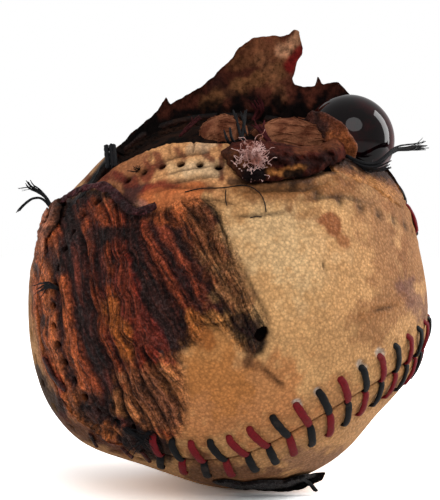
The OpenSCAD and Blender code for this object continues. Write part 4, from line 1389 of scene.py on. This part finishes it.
def make_under_scrap():
    def rise(pixels, depth):
        folds = rough(flat(pixels) * (0.4, 1.0, 1.0), 7.0, 3, 91)
        return 0.35 + 0.5 * ease(0, 4, depth) + 0.3 * folds

    points, faces, _ = laid_patch(SCRAP_OUTLINE, 1.0, rise, 0.05, 1.0, 92)
    tint = not_black(mottled(points, (0.09, 0.055, 0.05), 0.6, 2.5, 93))
    build("under_scrap", points, faces, leather_finish("scorched_scrap", 0.6), "charred_leather",
          ("bottom_scrap",), tint, {"char": 1.0})


def make_strips():
    points, faces = merge([tube(curve(lifted(line), 40), width * 0.5, 12, 1.0, FLAT_THREAD)
                           for line, width in STRIPS])
    build("loose_strips", points, faces, leather_finish("loose_strip", 0.5), "charred_leather",
          tint=mottled(points, (0.26, 0.10, 0.08), 0.6, 2.0, 95), masks={"char": 1.0})


def make_stubs():
    rng = np.random.default_rng(23)
    for name, node, line, width in STUBS:
        spine = curve(lifted(line), 16)
        bundle = []
        for _ in range(STUB_STRANDS):
            shift = rng.uniform(-1, 1, 3) * width * (0.72, 0.72, 0.2)
            bundle.append(tube(spine + shift, rng.uniform(0.26, 0.36) * width, 7, 2.0))
        points, faces = merge(bundle)
        build(name, above_floor(points), faces,
              thread_finish(node + "_fibre", (0.07, 0.07, 0.08), (0.16, 0.12, 0.11)),
              "black_thread", (node,))


# Dome

def make_dome(colours):
    way, faces = round_mesh(56)
    points = DOME_AT + way * DOME_R * (1 + 0.012 * noise(way * 5, 4.0, 101))[:, None]
    points *= (np.maximum(lengths(points), DOME_FLOOR) / lengths(points))[:, None]
    rim = ease(0.62, 0.1, way @ unit(unit(DOME_AT) * 0.3 + (-0.35, -1.0, 0.1)))
    glass = glass_finish("wine_glass", (0.035, 0.012, 0.016), colours.glass)
    build("glass_dome_body", points, faces, glass, "wine_glass", ("glass_dome",),
          masks={"rim": rim})


def lid_cap():
    """A cap of directions about the lid's axis, its faces, and how far out and round each lies."""
    axis = unit(LID_AXIS)
    first = unit(np.cross(axis, (0.0, 0.0, 1.0)))
    second = np.cross(axis, first)
    turn = np.linspace(0, 2 * math.pi, LID_SIDES, endpoint=False)
    circle = np.stack((np.cos(turn), np.sin(turn), np.zeros(LID_SIDES)), 1)
    reach = LID_HALF * (1 + 0.10 * rough(circle * 3, 1.6, 3, 111))
    share = np.linspace(0, 1, LID_RINGS + 1)[1:]
    theta = share[:, None] * reach[None, :]
    side = circle[:, :1] * first + circle[:, 1:2] * second
    way = np.cos(theta)[..., None] * axis + np.sin(theta)[..., None] * side[None, :, :]
    way = np.concatenate((axis[None, :], way.reshape(-1, 3)))
    at, onward, faces = ring_faces(LID_RINGS, LID_SIDES, 1)
    faces = np.concatenate((fan(0, at[0], onward[0]), faces))
    if (face_normals(way, faces) * way[faces].mean(1)).sum() < 0:
        faces = faces[:, ::-1]
    out = np.concatenate(((0.0,), np.repeat(share, LID_SIDES)))
    return way, faces, out, np.concatenate(((0.0,), np.tile(turn, LID_RINGS)))


def make_lid():
    way, faces, out, turn = lid_cap()
    folds = rough(np.stack((4 * np.cos(turn), 4 * np.sin(turn), 1.2 * out), 1), 1.1, 3, 112)
    folds = 1.8 * folds * ease(0.05, 0.5, out)
    waves = 1.6 * rough(way * 6, 1.4, 3, 113)
    thick = LEATHER_T * (0.8 + 0.25 * rough(way * 6, 2.0, 3, 114))
    rolled_rim = 0.5 * bell(out - 0.95, 0.07)
    outer = DOME_R + DOME_GAP + thick + 0.35 * folds + 0.25 * waves + rolled_rim
    upper, lower = DOME_AT + way * outer[:, None], DOME_AT + way * (DOME_R + DOME_GAP)
    keep = lengths(upper) - BALL_R - 0.1
    joined, faces = clip(np.column_stack((upper, lower, folds)), faces, keep)
    points, faces = shell(joined[:, :3], joined[:, 3:6], faces)
    folds = np.tile(joined[:, 6], 2)
    # Tone at random, with painted light and shade: lighter on the folds' crests and darker in their
    # troughs
    shade = 1 + 0.5 * rough(points, 2.0, 3, 115) + 0.3 * folds
    start = linear((0.30, 0.15, 0.11)) * shade[:, None]
    tint = painted(pixel_of(points), start, LID_STAINS, points)
    # More painted light and shade by the folds
    tint *= (1 + 0.35 * folds)[:, None]
    build("dome_eyelid", points, faces, leather_finish("lid_hide", 0.55), "orange_leather",
          ("dome_lid",), not_black(tint), {"char": 0.6})


# Loose threads

# Frayed bundles: piece, node and slot, then their lines. Each line has how its places are given,
# the places, the count of its strands, and their radius and spread in millimetres.
TUFTS = (
    ("mouth_tuft_threads", "mouth_tuft", "black_thread", (
        (lifted, ((242, 140, -2.0), (244, 126, -1.0), (246, 110, 0.4)), 3, 0.3, 0.08),
        (lifted, ((241, 138, -2.0), (238, 126, -1.0), (234, 112, 0.4)), 3, 0.28, 0.08),
        (lifted, ((236, 146, -1.5), (231, 138, 0.4), (229, 127, 1.2)), 3, 0.28, 0.08),
        (lifted, ((232, 146, -1.5), (227, 140, 0.2), (225, 131, 0.6)), 2, 0.26, 0.08),
        (lifted, ((246, 134, -1.5), (243, 122, -0.6), (240, 114, 0.2)), 2, 0.24, 0.1))),
    ("left_tuft_threads", "left_tuft", "black_thread", (
        (at_depth, ((56, 216, 12.0), (51, 206, 12.0), (46, 197, 11.0), (38, 190, 10.0),
                    (31, 187, 10.0), (28, 182, 10.0)), 9, 0.2, 0.16),
        (at_depth, ((52, 210, 12.0), (44, 199, 11.0), (36, 197, 10.0), (29, 200, 10.0),
                    (23, 205, 10.0), (18, 211, 10.0)), 8, 0.17, 0.14),
        (at_depth, ((46, 198, 11.0), (34, 188, 10.0), (26, 190, 10.0), (20, 192, 10.0)),
         4, 0.08, 0.2))),
    ("dome_tuft_threads", "dome_tuft", "black_thread", (
        (at_depth, ((346, 156, 19.0), (360, 163, 19.0), (373, 165, 18.0), (384, 158, 17.0),
                    (394, 149, 15.0), (410, 148, 12.0), (425, 147, 10.0)), 12, 0.22, 0.16),
        (at_depth, ((352, 162, 18.6), (364, 168, 18.4), (376, 170, 17.6), (386, 164, 16.6)),
         10, 0.24, 0.4),
        (at_depth, ((404, 148, 13.0), (416, 146, 11.0), (424, 141, 10.5)), 3, 0.1, 0.1))),
    ("hole_tuft_threads", "hole_tufts", "black_thread", (
        (lifted, ((139, 171, -0.5), (138, 168, 1.0), (134, 164, 2.0)), 7, 0.12, 0.3),
        (lifted, ((60, 290, -0.5), (55, 287, 1.0), (46, 285, 1.2), (40, 291, 0.8)), 12, 0.14, 0.4),
        (lifted, ((117, 421, -0.4), (127, 430, 0.8), (138, 436, 1.2), (150, 444, 0.6)),
         9, 0.13, 0.5),
        (lifted, ((150, 432, 0.2), (142, 440, 1.0), (134, 448, 0.8)), 7, 0.13, 0.5))),
    ("torn_yarn_strands", "torn_yarn", "dark_yarn", (
        (at_depth, ((264, 142, -2.2), (256, 130, -1.4), (254, 121, -1.0), (262, 111, -0.4),
                    (256, 100, 0.6)), 9, 0.34, 0.3),
        (lifted, ((270, 142, -2.0), (264, 134, -1.2), (258, 124, -0.8)), 6, 0.28, 0.3),
        (lifted, ((180, 136, -1.6), (188, 128, -1.4), (196, 120, -1.0)), 6, 0.22, 0.3))),
)
TUFT_POINTS = 26
FIRST_TUFT_SEED = 200
# Single hairs: places, count of points, radius and turns of the ply
HAIRS = (
    (((185, 192, 0.3), (200, 188, 0.5), (225, 188, 0.4), (245, 184, 0.7), (259, 191, 0.8),
      (265, 202, 0.6), (266, 212, 0.2)), 60, 0.11, 9),
    (((226, 189, 0.2), (225, 198, 0.4), (227, 206, 0.1)), 16, 0.09, 3),
    (((250, 218, 0.1), (256, 216, 0.3), (262, 217, 0.1)), 12, 0.09, 2),
)


def frayed(spine, count, strand, spread, seed):
    """A bundle of fine strands that follow one line and part towards its end."""
    rng = np.random.default_rng(seed)
    share = np.linspace(0, 1, len(spine))[:, None]
    parts = []
    for _ in range(count):
        way = rng.normal(0, 1, 3)
        wander = np.stack([noise(spine + rng.uniform(0, 99), 2.5, seed + k) for k in range(3)], 1)
        lean = way * spread * (0.25 + 1.8 * share ** 2) + wander * spread * (0.5 + share)
        radius = strand * rng.uniform(0.7, 1.2) * (1 - 0.6 * share[:, 0] ** 3)
        parts.append(tube(spine + lean, radius, 6, 4.0))
    return parts


def make_threads():
    finishes = {
        "black_thread": thread_finish("loose_black_thread", (0.06, 0.06, 0.07), (0.20, 0.15, 0.13)),
        "dark_yarn": yarn_finish("rust_yarn", (0.15, 0.05, 0.05), (0.32, 0.14, 0.15), 0.3),
    }
    for group, (name, node, slot, lines) in enumerate(TUFTS):
        parts = []
        for k, (place, line, count, strand, spread) in enumerate(lines):
            spine = curve(place(line), TUFT_POINTS)
            parts += frayed(spine, count, strand, spread, FIRST_TUFT_SEED + 10 * group + k)
        points, faces = merge(parts)
        build(name, above_floor(points), faces, finishes[slot], slot, (node,))
    hairs = [tube(curve(lifted(line), count), radius, 6, turns, ply=0.3)
             for line, count, radius, turns in HAIRS]
    build("loose_hair_thread", *merge(hairs), finishes["black_thread"], "black_thread",
          ("loose_thread",))


# Hidden insides

def finish_insides():
    finishes = (
        (grainy_finish("cork_crumb", (0.62, 0.42, 0.26), (0.30, 0.17, 0.09), 0.9, 0.85, 0.2),
         ("cork_centre",)),
        (grainy_finish("black_rubber_mix", (0.05, 0.05, 0.05), (0.11, 0.10, 0.10), 0.6, 0.6, 0.05),
         ("black_rubber_half_left", "black_rubber_half_right", "black_rubber_washer")),
        (grainy_finish("red_rubber_mix", (0.48, 0.10, 0.07), (0.34, 0.06, 0.05), 0.6, 0.6, 0.05),
         ("red_rubber_half_lower", "red_rubber_half_upper", "red_rubber_washer")),
        (yarn_finish("grey_wool_yarn", (0.45, 0.44, 0.43), (0.58, 0.57, 0.54)),
         ("first_winding", "third_winding")),
        (yarn_finish("white_wool_yarn", (0.82, 0.80, 0.74), (0.72, 0.69, 0.62)),
         ("second_winding",)),
        (grainy_finish("dark_backing", (0.06, 0.02, 0.025), (0.14, 0.03, 0.04), 0.8, 0.35, 0.05),
         ("dome_backing",)),
    )
    for material, names in finishes:
        for name in names:
            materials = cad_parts[name].data.materials
            materials.clear()
            materials.append(material)


# Stage

CLIP_START = 0.005
FLOOR_REACH = 6.0
FLOOR_PALE = (0.93, 0.93, 0.93)
# The floor's colour as the camera sees it, so that it is white with no more light on the ball
FLOOR_SEEN = (2.3, 2.3, 2.3)
# The lamps: place from the ball's middle and two sizes in metres, shape, and whose power they take
LAMPS = (
    ("front_softbox", (0.10, -0.52, 0.40), "DISK", (0.42, 0.42), "key_power"),
    ("left_fill", (-0.55, -0.20, 0.22), "DISK", (0.45, 0.45), "fill_power"),
    ("rear_right_softbox", (0.44, 0.10, 0.20), "RECTANGLE", (0.18, 0.432), "rim_power"),
)


def stage_object(name, data):
    thing = bpy.data.objects.new(name, data)
    bpy.context.scene.collection.objects.link(thing)
    return thing


def make_camera():
    data = bpy.data.cameras.new("photo_camera")
    data.sensor_width = SENSOR_MM
    data.lens = FOCAL_PX / max(FRAME_PX) * SENSOR_MM
    data.clip_start = CLIP_START
    camera = stage_object("photo_camera", data)
    camera.location = (CENTRE + CAMERA_AT) * MM
    camera.rotation_euler = (math.pi / 2, 0, 0)
    bpy.context.scene.camera = camera


def make_floor():
    mesh = bpy.data.meshes.new("studio_floor")
    reach = FLOOR_REACH
    corners = [(-reach, -reach, 0), (reach, -reach, 0), (reach, reach, 0), (-reach, reach, 0)]
    mesh.from_pydata(corners, [], [(0, 1, 2, 3)])
    floor = stage_object("studio_floor", mesh)
    make = Finish("studio_floor_white")
    pale = make.scale(linear(FLOOR_PALE), make.span(make.noise(400.0, 2), 0.3, 0.7, 0.99, 1.0))
    plain = make.add("ShaderNodeBsdfDiffuse", {"Color": pale}).outputs[0]
    bright = make.add("ShaderNodeBsdfDiffuse", {"Color": FLOOR_SEEN}).outputs[0]
    seen = make.add("ShaderNodeLightPath").outputs["Is Camera Ray"]
    both = make.add("ShaderNodeMixShader", {0: seen, 1: plain, 2: bright}).outputs[0]
    make.feed(make.tree.nodes["Material Output"].inputs["Surface"], both)
    mesh.materials.append(make.material)


def make_world(level):
    """White to the camera and through glass, and an even light of some level for all else."""
    world = bpy.data.worlds.new("studio_world")
    bpy.context.scene.world = world
    world.use_nodes = True
    make = Nodes(world.node_tree)
    path = make.add("ShaderNodeLightPath").outputs
    seen = make.maths("MAXIMUM", path["Is Camera Ray"], path["Is Transmission Ray"])
    strength = make.add("ShaderNodeMapRange", {"Value": seen, "To Min": level, "To Max": 1.0})
    plate = make.tree.nodes["Background"]
    make.feed(plate.inputs["Strength"], strength.outputs[0])
    make.feed(plate.inputs["Color"], (1, 1, 1))


def make_stage(sizes):
    make_camera()
    make_floor()
    for name, at, shape, size, power in LAMPS:
        lamp = bpy.data.lights.new(name, "AREA")
        lamp.energy = getattr(sizes, power)
        lamp.shape = shape
        lamp.size, lamp.size_y = size
        light = stage_object(name, lamp)
        light.location = Vector(CENTRE * MM) + Vector(at)
        light.rotation_euler = (-Vector(at)).to_track_quat("-Z", "Y").to_euler()
    make_world(sizes.world_level)
    bpy.context.scene.view_settings.view_transform = "Standard"


# Add-on

class BaseballSizes(bpy.types.PropertyGroup):
    """Sizes and light levels of the dressed ball."""

    grain: bpy.props.FloatProperty(
        name="Leather grain", description="Width of one pebble of the cover's leather",
        default=0.0006, min=0.0002, max=0.002, unit="LENGTH", subtype="DISTANCE")
    thread: bpy.props.FloatProperty(
        name="Thread", description="Width of the flat waxed thread",
        default=0.00138, min=0.0005, max=0.003, unit="LENGTH", subtype="DISTANCE")
    key_power: bpy.props.FloatProperty(
        name="Front softbox", description="Power of the softbox in front",
        default=1.45, min=0.0, unit="POWER")
    fill_power: bpy.props.FloatProperty(
        name="Left fill", description="Power of the fill light at the left",
        default=0.7, min=0.0, unit="POWER")
    rim_power: bpy.props.FloatProperty(
        name="Rear softbox", description="Power of the softbox behind on the right",
        default=1.7, min=0.0, unit="POWER")
    world_level: bpy.props.FloatProperty(
        name="Surroundings", description="Strength of the light from all around",
        default=0.5, min=0.0, max=1.0, subtype="FACTOR")


class BaseballColours(bpy.types.PropertyGroup):
    """Colours of the dressed ball, as they are seen."""

    leather: bpy.props.FloatVectorProperty(
        name="Leather", description="Tan of the worn leather",
        subtype="COLOR_GAMMA", size=3, min=0.0, max=1.0, default=(0.82, 0.61, 0.40))
    stain: bpy.props.FloatVectorProperty(
        name="Stain", description="Brown of the old stains",
        subtype="COLOR_GAMMA", size=3, min=0.0, max=1.0, default=(0.58, 0.37, 0.20))
    flesh: bpy.props.FloatVectorProperty(
        name="Flesh side", description="Torn inside of the leather",
        subtype="COLOR_GAMMA", size=3, min=0.0, max=1.0, default=(0.40, 0.21, 0.15))
    red_thread: bpy.props.FloatVectorProperty(
        name="Red thread", description="Red waxed thread",
        subtype="COLOR_GAMMA", size=3, min=0.0, max=1.0, default=(0.42, 0.07, 0.10))
    black_thread: bpy.props.FloatVectorProperty(
        name="Black thread", description="Black waxed thread",
        subtype="COLOR_GAMMA", size=3, min=0.0, max=1.0, default=(0.06, 0.06, 0.065))
    glass: bpy.props.FloatVectorProperty(
        name="Dome rim", description="Wine red of the dome towards its rim",
        subtype="COLOR_GAMMA", size=3, min=0.0, max=1.0, default=(0.27, 0.02, 0.04))


class BASEBALL_OT_stage(bpy.types.Operator):
    """Set up the camera, the lights, the world and the pale floor"""
    bl_idname = "baseball.stage"
    bl_label = "Stage"

    def execute(self, context):
        make_stage(context.scene.baseball_sizes)
        return {"FINISHED"}


class BASEBALL_OT_cover(bpy.types.Operator):
    """Make the two worn leather panels with their wrinkles, holes and gash"""
    bl_idname = "baseball.cover"
    bl_label = "Leather cover"

    def execute(self, context):
        make_cover(context.scene.baseball_sizes.grain / MM, context.scene.baseball_colours)
        return {"FINISHED"}


class BASEBALL_OT_stitches(bpy.types.Operator):
    """Make the red and black waxed stitches"""
    bl_idname = "baseball.stitches"
    bl_label = "Stitches"

    def execute(self, context):
        make_stitches(context.scene.baseball_sizes.thread, context.scene.baseball_colours)
        return {"FINISHED"}


class BASEBALL_OT_core(bpy.types.Operator):
    """Make the wound yarn core and the wool pulled out of it"""
    bl_idname = "baseball.core"
    bl_label = "Wound core"

    def execute(self, context):
        make_core()
        return {"FINISHED"}


class BASEBALL_OT_flap(bpy.types.Operator):
    """Make the torn flap that stands up over the mouth"""
    bl_idname = "baseball.flap"
    bl_label = "Torn flap"

    def execute(self, context):
        make_flap(context.scene.baseball_colours)
        return {"FINISHED"}


class BASEBALL_OT_lip(bpy.types.Operator):
    """Make the rolled suede lip, the fibre knot on it and the collar beside the dome"""
    bl_idname = "baseball.lip"
    bl_label = "Rolled lip"

    def execute(self, context):
        make_lip(context.scene.baseball_sizes.grain / MM)
        return {"FINISHED"}


class BASEBALL_OT_scraps(bpy.types.Operator):
    """Make the crumpled leather, the twisted band, the scrap below, the strips and the stubs"""
    bl_idname = "baseball.scraps"
    bl_label = "Scraps and stubs"

    def execute(self, context):
        for make in (make_crumple, make_band, make_under_scrap, make_strips, make_stubs):
            make()
        return {"FINISHED"}


class BASEBALL_OT_dome(bpy.types.Operator):
    """Make the dark glass dome and its leather lid"""
    bl_idname = "baseball.dome"
    bl_label = "Glass dome"

    def execute(self, context):
        make_dome(context.scene.baseball_colours)
        make_lid()
        return {"FINISHED"}


class BASEBALL_OT_threads(bpy.types.Operator):
    """Make the frayed tufts, the torn yarn and the loose hair thread"""
    bl_idname = "baseball.threads"
    bl_label = "Loose threads"

    def execute(self, context):
        make_threads()
        return {"FINISHED"}


class BASEBALL_OT_insides(bpy.types.Operator):
    """Give the hidden core parts their cork, rubber and wool"""
    bl_idname = "baseball.insides"
    bl_label = "Hidden insides"

    def execute(self, context):
        finish_insides()
        return {"FINISHED"}


PIECES = (BASEBALL_OT_stage, BASEBALL_OT_cover, BASEBALL_OT_stitches, BASEBALL_OT_core,
          BASEBALL_OT_flap, BASEBALL_OT_lip, BASEBALL_OT_scraps, BASEBALL_OT_dome,
          BASEBALL_OT_threads, BASEBALL_OT_insides)


class BASEBALL_PT_panel(bpy.types.Panel):
    """The pieces of the ball, in the sidebar"""
    bl_idname = "BASEBALL_PT_panel"
    bl_label = "Baseball"
    bl_space_type = "VIEW_3D"
    bl_region_type = "UI"
    bl_category = "Baseball"

    def draw(self, context):
        for group in (context.scene.baseball_sizes, context.scene.baseball_colours):
            for key in group.__annotations__:
                self.layout.prop(group, key)
        for piece in PIECES:
            self.layout.operator(piece.bl_idname)


CLASSES = (BaseballSizes, BaseballColours) + PIECES + (BASEBALL_PT_panel,)


def register():
    for cls in CLASSES:
        bpy.utils.register_class(cls)
    bpy.types.Scene.baseball_sizes = bpy.props.PointerProperty(type=BaseballSizes)
    bpy.types.Scene.baseball_colours = bpy.props.PointerProperty(type=BaseballColours)


def unregister():
    del bpy.types.Scene.baseball_colours
    del bpy.types.Scene.baseball_sizes
    for cls in reversed(CLASSES):
        bpy.utils.unregister_class(cls)


def main():
    register()
    bpy.ops.baseball.stage()
    bpy.ops.baseball.cover()
    bpy.ops.baseball.stitches()
    bpy.ops.baseball.core()
    bpy.ops.baseball.flap()
    bpy.ops.baseball.lip()
    bpy.ops.baseball.scraps()
    bpy.ops.baseball.dome()
    bpy.ops.baseball.threads()
    bpy.ops.baseball.insides()


if __name__ == "__main__":
    main()
